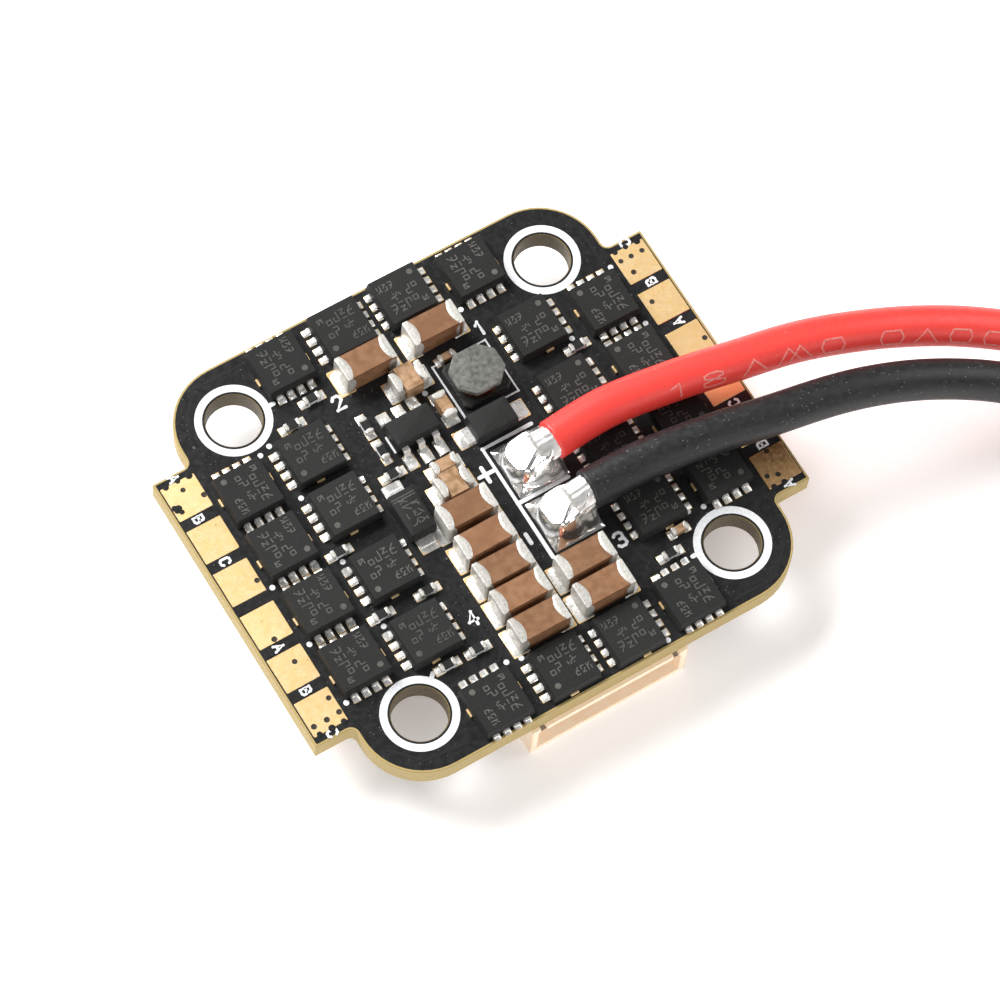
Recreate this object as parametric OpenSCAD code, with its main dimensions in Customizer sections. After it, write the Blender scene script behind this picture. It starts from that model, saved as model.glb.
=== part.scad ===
// Four-channel motor speed controller board with battery leads.
// Millimetres. Origin: centre of the four mounting holes, on the board's underside.
// +X runs toward the side where the battery leads leave, +Z is the power-transistor side,
// and the signal connector opens toward -Y.

/* [Board] */
// width of the central board
body_w = 26.9; // [24:0.1:32]
// length of the central board
body_l = 26.9; // [24:0.1:32]
// radius of the board's corners round the mounting holes
corner_r = 3.7; // [2:0.1:5]
// overall width across the two motor-pad wings
wing_span = 31.6; // [28:0.1:38]
// length of each wing
wing_l = 17.7; // [12:0.1:22]
// fillet where a wing meets the board
wing_fillet = 0.4; // [0.1:0.1:1]
// board thickness
board_t = 1.4; // [0.8:0.1:2]

/* [Mounting holes] */
// hole spacing, both ways
hole_pitch = 20; // [16:0.5:30.5]
// hole diameter
hole_d = 3.2; // [2:0.1:4]

/* [Copper pads] */
// side of a square motor pad
motor_pad = 2.2; // [1.5:0.1:3]
// spacing of the motor pads
motor_pitch = 2.9; // [2.5:0.1:4]
// number of motor pads on each wing
motor_pads_per_wing = 6; // [3:3:6]
// thickness of the plated copper that stands on the board
copper_t = 0.06; // [0.03:0.01:0.1]
// width of a battery pad
battery_pad_w = 3.2; // [2.5:0.1:5]
// length of a battery pad
battery_pad_l = 3.3; // [2.5:0.1:5]

/* [Power transistors] */
// side of a transistor's moulded body at the board
fet_side = 3.08; // [3:0.02:5]
// ratio of the body's top to its base
fet_taper = 0.94; // [0.9:0.01:1]
// height of the body over its lands
fet_h = 0.8; // [0.6:0.05:1.1]
// spacing of the transistor's leads
fet_lead_pitch = 0.65; // [0.5:0.05:1.27]

/* [Capacitors] */
// length of a bulk capacitor
cap_l = 3.2; // [2:0.1:4.5]
// width of a bulk capacitor
cap_w = 1.6; // [1:0.1:3.2]
// height of a bulk capacitor
cap_h = 1.65; // [0.8:0.05:2.5]
// length of a capacitor's metal end
cap_end = 0.5; // [0.2:0.05:0.8]

/* [Inductor] */
// side of the inductor
choke_side = 3.0; // [2:0.1:5]
// overall height of the inductor
choke_h = 1.4; // [1:0.1:3]
// thickness of its two flanges
choke_flange = 0.35; // [0.2:0.05:0.8]

/* [Battery leads] */
// outer diameter of a lead's silicone insulation
lead_d = 2.33; // [1.5:0.01:4]
// diameter of the stranded conductor
strand_d = 1.2; // [0.8:0.1:2]
// straight run of the sleeve over the end of each lead
sleeve_l = 7; // [4:0.5:12]

/* [Signal connector] */
// number of contacts
signal_ways = 8; // [4:1:10]
// contact spacing
signal_pitch = 1.0; // [1:0.25:1.5]
// housing height below the board
signal_h = 2.95; // [2.5:0.05:4]
// housing depth
signal_depth = 4.25; // [3:0.05:6]
// how far the mouth stands out past the board's edge
signal_overhang = 0.2; // [0:0.05:1]

/* [Battery connector] */
// spacing of the two contacts
plug_pitch = 5; // [4:0.5:8]
// width of the housing
plug_w = 10.2; // [9:0.1:18]
// height of the housing
plug_h = 5.2; // [4:0.1:8]
// length of the housing
plug_l = 15; // [12:0.5:20]
// diameter of a contact pin
plug_pin_d = 2; // [1.5:0.1:4]

/* [Hidden] */
signal_w = signal_pitch * (signal_ways - 1) + 3;
floor_z = -signal_h;
land_t = 0.05;
chip_z = board_t + land_t;
lead_r = lead_d / 2;
strand_r = strand_d / 2;
signal_front = -body_l / 2 - signal_overhang;
signal_back = signal_front + signal_depth;
eps = 0.01;

// power transistors: [x, y, angle]; the source leads point to the angle's -X side
FETS = [
    [-11.55, 5.72, -90], [-11.55, 2.02, 90], [-11.55, -1.87, 90], [-11.55, -5.77, 90],
    [-7.45, 5.98, 0], [-7.45, 2.4, 0], [-7.45, -1.95, 0], [-7.45, -6.3, 0],
    [-6.15, 11.5, 90], [-2.1, 11.65, 0], [1.9, 11.78, 180], [6.05, 11.35, 90],
    [7.15, 6.5, 180], [7.15, 2.25, 180], [7.15, -1.9, 180], [7.2, -5.95, 180],
    [11.45, 5.85, -90], [11.45, 1.85, -90], [11.45, -1.9, 90], [11.45, -5.9, 90],
    [-6.15, -11.6, -90], [-1.95, -11.65, 0], [2.15, -11.7, 180], [6.15, -11.5, -90]
];
// bulk capacitors across the battery input: [x, y]
BULK = [
    [-2.15, 9.05], [2.2, 9.05], [-1.95, -1.42], [-1.95, -3.4], [-1.95, -5.3],
    [-1.95, -7.12], [-1.95, -9.03], [2.15, -7.12], [2.15, -9.03]
];
// ceramic capacitors of the regulator: [x, y, angle, length, width, height]
SMALL_CAPS = [
    [-0.55, 7.09, 0, 2, 1.25, 1.2], [-1.67, 0.39, 0, 2, 1.25, 1.2], [-1.42, 1.71, 0, 1.6, 0.8, 0.8],
    [0.42, 4.81, 90, 1.6, 0.8, 0.8], [2.1, 7.4, 0, 1, 0.5, 0.5], [7.8, -7.95, 0, 1, 0.5, 0.5]
];
// 1.0 x 0.5 resistors by the transistors' gates: [x, y, angle]
RESISTORS = [
    [-7.4, 8.05, 0], [-5.65, 8.93, 0], [-3.9, 6.0, 90], [-3.9, 4.25, 90], [-4.1, 2.75, 0],
    [-9.0, 0.22, 0], [-8.9, -4.1, 0], [-6.0, -4.12, 0], [-7.3, -8.4, 0], [-5.4, -8.42, 0],
    [6.65, -8.9, 0], [8.85, 4.4, 0]
];
// diodes: [x, y, angle, body length]
DIODES = [[-4.53, 0.05, 90, 2.8], [2.2, 2.7, 0, 2.6]];
CHOKE = [2.9, 5.5];
REGULATOR = [-1.85, 4.5];
// battery pads and the point where each lead's insulation ends: [pad x, pad y, lead x, lead y]
PLUS = [2.87, -0.32, 3.9, -0.6];
MINUS = [2.87, -4.03, 4.05, -4.1];
pad_top = board_t + copper_t;
// height of the leads' axis where they leave the solder
lead_z = board_t + 2.3;
lead_floor_z = floor_z + lead_r + 0.02;
plug_z = floor_z + plug_h / 2;
plug_x = 42.4;
plug_y = -37;
// underside chips: [x, y, side, height]
CONTROLLERS = [[-4.4, 3.4], [4.4, 3.4], [-4.4, -3.4], [4.4, -3.4]];
DRIVERS = [[-9.2, 3.4], [9.2, 3.4], [-9.2, -3.4], [9.2, -3.4]];

// way-points of the leads' centrelines
PLUS_ROUTE = [
    [3.9, -0.6, lead_z], [7.5, -0.4, lead_z + 0.05], [11.4, -0.85, lead_z + 0.05],
    [15.2, -1.5, lead_z - 0.05], [19.1, -2.2, lead_z - 0.3], [22.8, -3.3, lead_z - 0.7],
    [26.5, -4.7, lead_z - 1.4], [29.9, -6.4, lead_z - 2.3], [33.3, -8.6, lead_z - 3.4],
    [36.5, -11.3, lead_z - 4.5], [39.6, -14.4, lead_z - 5.2], [42.2, -18, lead_floor_z],
    [44.2, -22, lead_floor_z], [44.9, -26.2, lead_floor_z + 0.6], [plug_x + plug_pitch / 2, -30.4, plug_z],
    [plug_x + plug_pitch / 2, plug_y + 2.4, plug_z]
];
MINUS_ROUTE = [
    [4.05, -4.1, lead_z], [7.6, -4.15, lead_z + 0.05], [11.5, -4.65, lead_z + 0.05],
    [15.1, -5.3, lead_z - 0.05], [19.1, -5.95, lead_z - 0.3], [22.3, -6.75, lead_z - 0.7],
    [25.3, -7.8, lead_z - 1.4], [28.2, -9.2, lead_z - 2.3], [31.1, -11.1, lead_z - 3.4],
    [33.9, -13.5, lead_z - 4.5], [36.3, -16.2, lead_z - 5.2], [38.2, -19.3, lead_floor_z],
    [39.5, -22.8, lead_floor_z], [39.9, -26.4, lead_floor_z + 0.6], [plug_x - plug_pitch / 2, -30.4, plug_z],
    [plug_x - plug_pitch / 2, plug_y + 2.4, plug_z]
];

$fn = 48;

MASK = [0.13, 0.13, 0.14];
MOULD = [0.17, 0.17, 0.18];
TIN = [0.82, 0.82, 0.8];
GOLD = [0.93, 0.76, 0.45];
CERAMIC = [0.6, 0.42, 0.3];
IVORY = [0.93, 0.85, 0.72];

// ---- helpers ----

module at(p, z = 0, a = 0) translate([p[0], p[1], z]) rotate(a) children();

module block(x, y, h) translate([-x / 2, -y / 2, 0]) cube([x, y, h]);

module tapered(x, y, h, k) linear_extrude(height = h, scale = k) square([x, y], center = true);

module rounded_plan(w, l, r) {
    square([w, l - 2 * r], center = true);
    square([w - 2 * r, l], center = true);
    for (sx = [-1, 1], sy = [-1, 1])
        translate([sx * (w / 2 - r), sy * (l / 2 - r)]) circle(r);
}

module board_plan() {
    rounded_plan(body_w, body_l, corner_r);
    square([wing_span, wing_l], center = true);
    for (sx = [-1, 1], sy = [-1, 1])
        scale([sx, sy]) translate([body_w / 2 - eps, wing_l / 2 - eps]) difference() {
            square(wing_fillet + eps);
            translate([wing_fillet + eps, wing_fillet + eps]) circle(wing_fillet, $fn = 24);
        }
}

// points of a smooth curve through the way-points p, n steps a span
function spline_at(p, i, t) =
    let (a = p[max(i - 1, 0)], b = p[i], c = p[i + 1], d = p[min(i + 2, len(p) - 1)])
    0.5 * (2 * b + (c - a) * t + (2 * a - 5 * b + 4 * c - d) * t * t + (3 * b - a - 3 * c + d) * t * t * t);
function spline(p, n) = concat(
    [for (i = [0:len(p) - 2], k = [0:n - 1]) spline_at(p, i, k / n)], [p[len(p) - 1]]);
function unit(v) = v / norm(v);
function ring(c, t, r, sides) =
    let (u = unit(cross([0, 0, 1], t)), w = cross(t, u))
    [for (k = [0:sides - 1]) c + r * (cos(360 * k / sides + 22.5) * u + sin(360 * k / sides + 22.5) * w)];

// solid tube along a list of points
module tube(q, r, sides = 8) {
    m = len(q);
    rings = [for (i = [0:m - 1])
        ring(q[i], unit(q[min(i + 1, m - 1)] - q[max(i - 1, 0)]), r, sides)];
    polyhedron(
        points = [for (g = rings) each g],
        faces = concat(
            [[for (k = [sides - 1:-1:0]) k]],
            [for (i = [0:m - 2], k = [0:sides - 1])
                [i * sides + k, i * sides + (k + 1) % sides,
                 (i + 1) * sides + (k + 1) % sides, (i + 1) * sides + k]],
            [[for (k = [0:sides - 1]) (m - 1) * sides + k]]),
        convexity = 8);
}

// ---- board and pads ----

module circuit_board() color(MASK) difference() {
    linear_extrude(height = board_t) board_plan();
    for (sx = [-1, 1], sy = [-1, 1])
        translate([sx * hole_pitch / 2, sy * hole_pitch / 2, -1]) cylinder(h = board_t + 2, d = hole_d);
}

module motor_pads() color(GOLD)
    for (sx = [-1, 1], side = [0, 1], k = [0:motor_pads_per_wing - 1])
        translate([sx * 14.55, (k - (motor_pads_per_wing - 1) / 2) * motor_pitch,
                   side == 0 ? board_t : -copper_t])
            block(motor_pad - 0.1, motor_pad, copper_t);

module battery_pads() color(TIN)
    for (p = [PLUS, MINUS]) at(p, board_t) block(battery_pad_w, battery_pad_l, copper_t);

module two_lands(gap, l, w) for (s = [-1, 1]) translate([s * (gap + l) / 2, 0]) block(l, w, land_t);

module solder_lands() color(TIN) {
    for (f = FETS) at(f, board_t, f[2])
        for (k = [-1.5:1.5], s = [-1, 1])
            translate([s * (s < 0 ? 1.72 : 1.65), k * fet_lead_pitch]) block(s < 0 ? 0.56 : 0.42, 0.44, land_t);
    for (c = BULK) at(c, board_t) two_lands(2.1, 0.95, 1.7);
    for (c = SMALL_CAPS) at(c, board_t, c[2]) two_lands(c[3] * 0.55, c[3] * 0.42, c[4] * 1.12);
    for (r = RESISTORS) at(r, board_t, r[2]) two_lands(0.52, 0.55, 0.56);
    for (d = DIODES) at(d, board_t, d[2]) two_lands(2.5, 1.0, 1.15);
    at(CHOKE, board_t, 90) two_lands(1.7, 0.6, 2.4);
    at(REGULATOR, board_t) for (k = [-1, 0, 1]) {
        translate([k * 0.95, -1.55]) block(0.65, 0.95, land_t);
        translate([k * 0.95, 1.4]) block(0.65, 0.8, land_t);
    }
}

// ---- power transistors ----

module mosfet(i) color(MOULD)
    at(FETS[i], chip_z, FETS[i][2]) tapered(fet_side, fet_side, fet_h, fet_taper);

module mosfet_leads() color(TIN)
    for (f = FETS) at(f, chip_z, f[2]) {
        for (k = [-1.5:1.5], s = [-1, 1])
            translate([s * (fet_side / 2 + 0.07), k * fet_lead_pitch]) block(0.14, 0.34, 0.2);
        for (s = [-1, 1]) translate([-0.25, s * (fet_side / 2 + 0.05)]) block(0.5, 0.1, 0.2);
    }

// ---- ceramic capacitors and resistors ----

module capacitor_body(l, w, h, e) block(l - 2 * e, w - 0.06, h - 0.06);

module capacitor_ends(l, w, h, e) for (s = [-1, 1]) translate([s * (l - e) / 2, 0]) block(e, w, h);

module bulk_capacitor(i) color(CERAMIC) at(BULK[i], chip_z) capacitor_body(cap_l, cap_w, cap_h, cap_end);

module bulk_capacitor_terminals() color(TIN)
    for (c = BULK) at(c, chip_z) capacitor_ends(cap_l, cap_w, cap_h, cap_end);

module regulator_capacitors() color(CERAMIC)
    for (c = SMALL_CAPS) at(c, chip_z, c[2]) capacitor_body(c[3], c[4], c[5], c[3] * 0.22);

module gate_resistors() color(MOULD) for (r = RESISTORS) at(r, chip_z, r[2]) block(0.56, 0.5, 0.34);

module chip_terminals() color(TIN) {
    for (c = SMALL_CAPS) at(c, chip_z, c[2]) capacitor_ends(c[3], c[4], c[5], c[3] * 0.22);
    for (r = RESISTORS) at(r, chip_z, r[2]) capacitor_ends(1.0, 0.5, 0.35, 0.22);
    // gull-wing leads of the regulator
    at(REGULATOR, chip_z) for (k = [-1, 0, 1], s = [-1, 1])
        translate([k * 0.95 - 0.2, 0, 0]) rotate([90, 0, 90]) linear_extrude(height = 0.4)
            polygon([[s * 0.8, 0.45], [s * 0.8, 0.6], [s * 1.05, 0.6], [s * 1.2, 0.15],
                     [s * 1.45, 0.15], [s * 1.45, 0], [s * 1.1, 0], [s * 0.95, 0.45]]);
}

// ---- inductor ----

module choke_plan(x, y, c) intersection() {
    square([x, y], center = true);
    rotate(45) square((x + y - 2 * c) / sqrt(2), center = true);
}

module inductor_core() color([0.36, 0.37, 0.36]) at(CHOKE, chip_z) {
    linear_extrude(height = choke_flange) choke_plan(choke_side, choke_side, 0.3);
    cylinder(h = choke_h - eps, d = choke_side * 0.5);
    translate([0, 0, choke_h - choke_flange]) linear_extrude(height = choke_flange)
        choke_plan(choke_side, choke_side * 0.9, 0.75);
}

module inductor_winding() color([0.45, 0.22, 0.12])
    at(CHOKE, chip_z + choke_flange)
        rotate_extrude() {
            translate([choke_side * 0.25, 0]) square([choke_side * 0.17, choke_h - 2 * choke_flange]);
            for (k = [0:4]) translate([choke_side * 0.42, 0.07 + 0.14 * k]) circle(0.07, $fn = 16);
        }

// ---- diodes and regulator ----

module diode_body(d) at(d, chip_z, d[2]) translate([0, 0, 0.02]) tapered(d[3], 1.62, 1.03, 0.95);

module protection_diode() color(MOULD) diode_body(DIODES[0]);

module catch_diode() color(MOULD) diode_body(DIODES[1]);

module diode_terminals() color(TIN)
    for (d = DIODES) at(d, chip_z, d[2])
        for (s = [-1, 1]) translate([s * (d[3] / 2 + 0.25), 0]) block(0.48, 0.95, 0.16);

module regulator_chip() color(MOULD)
    at(REGULATOR, chip_z) translate([0, 0, 0.06]) tapered(2.9, 1.62, 1.0, 0.95);

// ---- solder joints and leads ----

// solder mound on a battery pad, run up round the stripped end of the lead
module solder_joint(p) difference() {
    hull() {
        at(p, pad_top) block(battery_pad_w - 0.2, battery_pad_l - 0.2, 0.15);
        translate([p[0] - 0.6, p[1], board_t + 0.9]) sphere(0.75, $fn = 24);
        translate([p[2] - 0.9, p[3], lead_z - 0.3]) sphere(0.95, $fn = 24);
    }
    strand(p);
    translate([p[2] - eps, p[3] - 3, board_t + 1]) cube([3, 6, 4]);
}

module strand(p) translate([p[2], p[3], lead_z]) rotate([0, -90 - 12, 0]) translate([0, 0, -0.1])
    cylinder(h = 2.3, r = strand_r, $fn = 16);

module positive_solder_joint() color(TIN) solder_joint(PLUS);

module negative_solder_joint() color(TIN) solder_joint(MINUS);

module lead_strands() color([0.8, 0.5, 0.32]) for (p = [PLUS, MINUS]) difference() {
    strand(p);
    translate([p[2], p[3] - 3, board_t]) cube([3, 6, 5]);
}

module positive_lead() color([0.95, 0.25, 0.22]) tube(spline(PLUS_ROUTE, 2), lead_r);

module negative_lead() color([0.12, 0.12, 0.12]) tube(spline(MINUS_ROUTE, 2), lead_r);

// ---- battery connector ----

module plug_place(s = 0) translate([plug_x + s * plug_pitch / 2, plug_y, plug_z]) rotate([90, 0, 0]) children();

module battery_connector_housing() color([0.9, 0.75, 0.12]) difference() {
    plug_place() linear_extrude(height = plug_l) rounded_plan(plug_w, plug_h, 0.8);
    // shroud round the contact pins
    plug_place() translate([0, 0, plug_l - 8.5]) linear_extrude(height = 9)
        rounded_plan(plug_w - 1.6, plug_h - 1.6, 0.5);
    for (s = [-1, 1]) plug_place(s) translate([0, 0, -1]) cylinder(h = plug_l, d = plug_pin_d + 0.6);
}

module battery_connector_contacts() color(GOLD)
    for (s = [-1, 1]) plug_place(s) {
        translate([0, 0, -2.4]) cylinder(h = 2.4 + plug_l - 8.5, d = plug_pin_d + 0.6);
        cylinder(h = plug_l - 1.2, d = plug_pin_d);
    }

module lead_sleeves() color([0.1, 0.1, 0.1])
    for (s = [-1, 1]) plug_place(s) translate([0, 0, -sleeve_l]) difference() {
        cylinder(h = sleeve_l, d = plug_pin_d + 1.4);
        translate([0, 0, -1]) cylinder(h = sleeve_l + 2, d = plug_pin_d + 0.62);
    }

// ---- signal connector ----

module contact_x() for (k = [0:signal_ways - 1])
    translate([(k - (signal_ways - 1) / 2) * signal_pitch, 0, 0]) children();

module signal_connector_housing() color(IVORY) difference() {
    union() {
        translate([-signal_w / 2, signal_front, floor_z]) cube([signal_w, signal_depth, signal_h]);
    }
    // mouth
    translate([-signal_w / 2 + 0.45, signal_front - 1, floor_z + 0.45])
        cube([signal_w - 0.9, signal_depth, signal_h - 0.95]);
    // polarity slots in the upper wall
    for (s = [-1, 1]) translate([s * (signal_w / 2 - 0.75) - 0.2, signal_front - 1, -0.6])
        cube([0.4, 2.2, 1.2]);
    // contact slots through the back wall
    contact_x() translate([-0.15, signal_back - 2, floor_z + 1.25]) cube([0.3, 3, 0.3]);
    // recesses of the hold-down tabs
    for (s = [-1, 1]) translate([s * signal_w / 2 - 0.2, signal_front + 1.3, -1.3]) cube([0.4, 1.5, 1.4]);
}

module signal_connector_contacts() color(TIN) {
    contact_x() translate([-0.15, 0, floor_z]) {
        translate([0, signal_front + 1.2, 1.25]) cube([0.3, signal_depth - 1.2 + 0.2, 0.3]);
        translate([0, signal_back, 1.25]) cube([0.3, 0.25, signal_h - 1.25]);
        translate([0, signal_back, signal_h - 0.25]) cube([0.3, 1, 0.25]);
    }
    for (s = [-1, 1]) translate([s * signal_w / 2 - 0.2, signal_front + 1.3, -1.3]) cube([0.4, 1.5, 1.3]);
}

// ---- underside chips ----

module microcontrollers() color(MOULD)
    for (p = CONTROLLERS) at(p, -0.75) block(3, 3, 0.75);

module gate_drivers() color(MOULD)
    for (p = DRIVERS) at(p, -0.8) block(4, 4, 0.8);

circuit_board();
motor_pads();
battery_pads();
solder_lands();
mosfet_leads();
for (i = [0:len(FETS) - 1]) mosfet(i);
for (i = [0:len(BULK) - 1]) bulk_capacitor(i);
bulk_capacitor_terminals();
regulator_capacitors();
gate_resistors();
chip_terminals();
inductor_core();
inductor_winding();
protection_diode();
catch_diode();
diode_terminals();
regulator_chip();
positive_solder_joint();
negative_solder_joint();
positive_lead();
negative_lead();
lead_strands();
lead_sleeves();
battery_connector_housing();
battery_connector_contacts();
signal_connector_housing();
signal_connector_contacts();
microcontrollers();
gate_drivers();
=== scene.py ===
"""Finished looks of a small four-channel motor speed controller board with its battery leads.

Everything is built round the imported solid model, in its own frame. Sizes in this file are in
millimetres unless a name says otherwise, and are turned into metres when a mesh is made.
"""

import logging
import random
from collections.abc import Callable, Iterable, Sequence
from dataclasses import dataclass, field
from enum import Enum
from functools import lru_cache
from math import ceil, copysign, cos, dist, exp, hypot, log, pi, radians, sin, sqrt, tau
from typing import Any

import bmesh
import bpy
from mathutils import Matrix, Vector, noise
from mathutils.geometry import tessellate_polygon


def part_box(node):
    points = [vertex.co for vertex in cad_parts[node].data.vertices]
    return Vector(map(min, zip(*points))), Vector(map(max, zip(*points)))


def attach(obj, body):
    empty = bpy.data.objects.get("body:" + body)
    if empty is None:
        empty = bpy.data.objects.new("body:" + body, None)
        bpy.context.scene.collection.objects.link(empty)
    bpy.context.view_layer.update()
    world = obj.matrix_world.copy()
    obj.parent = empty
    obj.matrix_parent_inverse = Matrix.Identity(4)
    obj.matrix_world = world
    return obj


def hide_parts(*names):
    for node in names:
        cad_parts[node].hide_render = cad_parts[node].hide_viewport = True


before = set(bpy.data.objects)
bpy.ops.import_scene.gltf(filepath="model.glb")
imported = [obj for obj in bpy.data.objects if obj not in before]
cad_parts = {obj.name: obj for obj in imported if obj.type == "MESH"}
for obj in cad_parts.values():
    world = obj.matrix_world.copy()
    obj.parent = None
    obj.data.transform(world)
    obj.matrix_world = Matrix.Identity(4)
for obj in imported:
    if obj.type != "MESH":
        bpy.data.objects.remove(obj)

LOG = logging.getLogger("speed_controller")
MM = 0.001
BODY = "root"

Colour = tuple[float, float, float]
Point = Sequence[float]
Place = tuple[float, float, float]
Flat = tuple[float, float]
Loop = list[Flat]
Box = tuple[Vector, Vector]
Piece = bpy.types.Object
Socket = bpy.types.NodeSocket
Tree = bpy.types.NodeTree
NamedTree = tuple[Tree, dict[str, str]]

LEAD_RADIUS = 1.165
LEAD_SIDES = 40
RING_SIDES = 72
INK_THICKNESS = 0.02
MARK_THICKNESS = 0.006
MARK_LIFT = 0.003
BEVELLED_FROM = radians(28)
DUST_COLOUR = (0.62, 0.6, 0.56)


# ---- node graphs


class Graph:
    """Adds nodes to a shader or geometry tree and links them as they are made."""

    def __init__(self, tree: Tree) -> None:
        """Keeps the tree that the nodes go in."""
        self.tree = tree

    def add(self, kind: str, inputs: dict[str | int, Any] | None = None, **settings: Any) -> bpy.types.Node:
        """Adds one node.

        Args:
            kind: the node's type name.
            inputs: values or sockets for its inputs, by name or index.
            settings: the node's own properties.

        Returns:
            The new node.
        """
        node = self.tree.nodes.new(kind)
        for key, value in settings.items():
            setattr(node, key, value)
        for key, value in (inputs or {}).items():
            if isinstance(value, Socket):
                self.tree.links.new(value, node.inputs[key])
            else:
                node.inputs[key].default_value = value
        return node

    def math(self, operation: str, a: Any, b: Any = 0.0, clamp: bool = False) -> Socket:
        """Adds a Math node on two values or sockets and returns its result."""
        node = self.add("ShaderNodeMath", {0: a, 1: b}, operation=operation, use_clamp=clamp)
        return node.outputs[0]

    def blend(self, share: Any, a: Any, b: Any) -> Socket:
        """Mixes two colours or sockets, the second by its share, and returns the result."""
        node = self.add("ShaderNodeMix", {0: share, 6: _rgba(a), 7: _rgba(b)}, data_type="RGBA")
        return node.outputs[2]

    def ramp(self, value: Any, low: float, high: float, start: float = 0.0, end: float = 1.0) -> Socket:
        """Maps a value from low and high to start and end, clamped, and returns the result."""
        node = self.add("ShaderNodeMapRange", {0: value, 1: low, 2: high, 3: start, 4: end})
        return node.outputs[0]


def _rgba(colour: Any) -> Any:
    """Gives a colour its alpha, and lets a socket through."""
    return colour if isinstance(colour, Socket) else (*colour, 1.0)


def _group(name: str, ins: dict[str, tuple[str, Any]], outs: dict[str, str]) -> tuple[Graph, Any, Any]:
    """Starts a shader node group.

    Args:
        name: the group's name.
        ins: input name to socket kind and its value.
        outs: output name to socket kind.

    Returns:
        The graph, what the group is given and what it puts out.
    """
    tree = bpy.data.node_groups.new(name, "ShaderNodeTree")
    for key, (kind, value) in ins.items():
        socket = tree.interface.new_socket(key, in_out="INPUT", socket_type="NodeSocket" + kind)
        if value is not None:
            socket.default_value = value
    for key, kind in outs.items():
        tree.interface.new_socket(key, in_out="OUTPUT", socket_type="NodeSocket" + kind)
    graph = Graph(tree)
    return graph, graph.add("NodeGroupInput").outputs, graph.add("NodeGroupOutput").inputs


@lru_cache(maxsize=None)
def grain_group() -> Tree:
    """Returns the group that gives a fine grain's height and a mask of its dark side."""
    graph, given, out = _group(
        "fine_grain",
        {"Place": ("Vector", None), "Scale": ("Float", 8.0), "Stretch": ("Vector", (1, 1, 1)),
         "Detail": ("Float", 4.0)},
        {"Height": "Float", "Mask": "Float"},
    )
    place = graph.add("ShaderNodeVectorMath", {0: given["Place"], 1: given["Stretch"]}, operation="MULTIPLY")
    speckle = graph.add(
        "ShaderNodeTexNoise",
        {"Vector": place.outputs[0], "Scale": given["Scale"], "Detail": given["Detail"], "Roughness": 0.6},
    )
    graph.tree.links.new(speckle.outputs[0], out["Height"])
    graph.tree.links.new(graph.ramp(speckle.outputs[0], 0.36, 0.64), out["Mask"])
    return graph.tree


@lru_cache(maxsize=None)
def specks_group() -> Tree:
    """Returns the group that scatters small round specks."""
    graph, given, out = _group(
        "scattered_specks",
        {"Place": ("Vector", None), "Scale": ("Float", 4.0), "Share": ("Float", 0.2)},
        {"Mask": "Float"},
    )
    cells = graph.add("ShaderNodeTexVoronoi", {"Vector": given["Place"], "Scale": given["Scale"]})
    near = graph.math("LESS_THAN", cells.outputs["Distance"], 0.16)
    parts = graph.add("ShaderNodeSeparateXYZ", {0: cells.outputs["Color"]})
    picked = graph.math("LESS_THAN", parts.outputs[0], given["Share"])
    graph.tree.links.new(graph.math("MULTIPLY", near, picked), out["Mask"])
    return graph.tree


@lru_cache(maxsize=None)
def wear_group() -> Tree:
    """Returns the group that marks rubbed edges, broken up by a coarse noise."""
    graph, given, out = _group(
        "rubbed_edges", {"Place": ("Vector", None), "Amount": ("Float", 0.5)}, {"Mask": "Float"}
    )
    shape = graph.add("ShaderNodeNewGeometry")
    edge = graph.ramp(shape.outputs["Pointiness"], 0.51, 0.6)
    patches = graph.add("ShaderNodeTexNoise", {"Vector": given["Place"], "Scale": 2.5, "Detail": 5.0})
    broken = graph.ramp(patches.outputs[0], 0.35, 0.6)
    worn = graph.math("MULTIPLY", graph.math("MULTIPLY", edge, broken), given["Amount"], clamp=True)
    graph.tree.links.new(worn, out["Mask"])
    return graph.tree


@lru_cache(maxsize=None)
def dust_group() -> Tree:
    """Returns the group that marks fine dust on the faces that look up."""
    graph, given, out = _group(
        "settled_dust", {"Place": ("Vector", None), "Amount": ("Float", 0.2)}, {"Mask": "Float"}
    )
    shape = graph.add("ShaderNodeNewGeometry")
    up = graph.add("ShaderNodeSeparateXYZ", {0: shape.outputs["Normal"]})
    facing = graph.ramp(up.outputs[2], 0.2, 0.9)
    fine = graph.add("ShaderNodeTexVoronoi", {"Vector": given["Place"], "Scale": 5.0})
    spots = graph.math("LESS_THAN", fine.outputs["Distance"], 0.1)
    drift = graph.add("ShaderNodeTexNoise", {"Vector": given["Place"], "Scale": 0.7, "Detail": 3.0})
    patchy = graph.ramp(drift.outputs[0], 0.45, 0.62)
    seen, thick = graph.math("MULTIPLY", facing, spots), graph.math("MULTIPLY", patchy, given["Amount"])
    graph.tree.links.new(graph.math("MULTIPLY", seen, thick), out["Mask"])
    return graph.tree


# ---- finishes


@dataclass(frozen=True)
class Finish:
    """One surface finish: its colours, gloss, grain, wear, dust and painted glow, an emission that stands in for light.
    """

    name: str
    slot: str
    colour: Colour
    shade: Colour
    roughness: float = 0.5
    rough_span: float = 0.1
    metallic: float = 0.0
    specular: float = 0.5
    coat: float = 0.0
    coat_roughness: float = 0.1
    grain: float = 6.0
    stretch: Place = (1.0, 1.0, 1.0)
    relief: float = 0.004
    wave: float = 0.0
    wave_scale: float = 1.5
    speck: Colour = (0.5, 0.5, 0.5)
    speck_scale: float = 8.0
    speck_share: float = 0.0
    rubbed: Colour = (0.5, 0.5, 0.5)
    rub: float = 0.0
    dust: float = 0.0
    tone: float = 1.0
    # painted_glow: emission in the finish's own colour, painted light where a surface should look lit by bounce or by
    # light passing through it.
    painted_glow: float = 0.0

    def base_colour(self, graph: Graph, place: Socket, mask: Socket) -> Socket:
        """Makes the colour under wear and dust from the grain's mask."""
        return graph.blend(mask, self.colour, self.shade)


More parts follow.
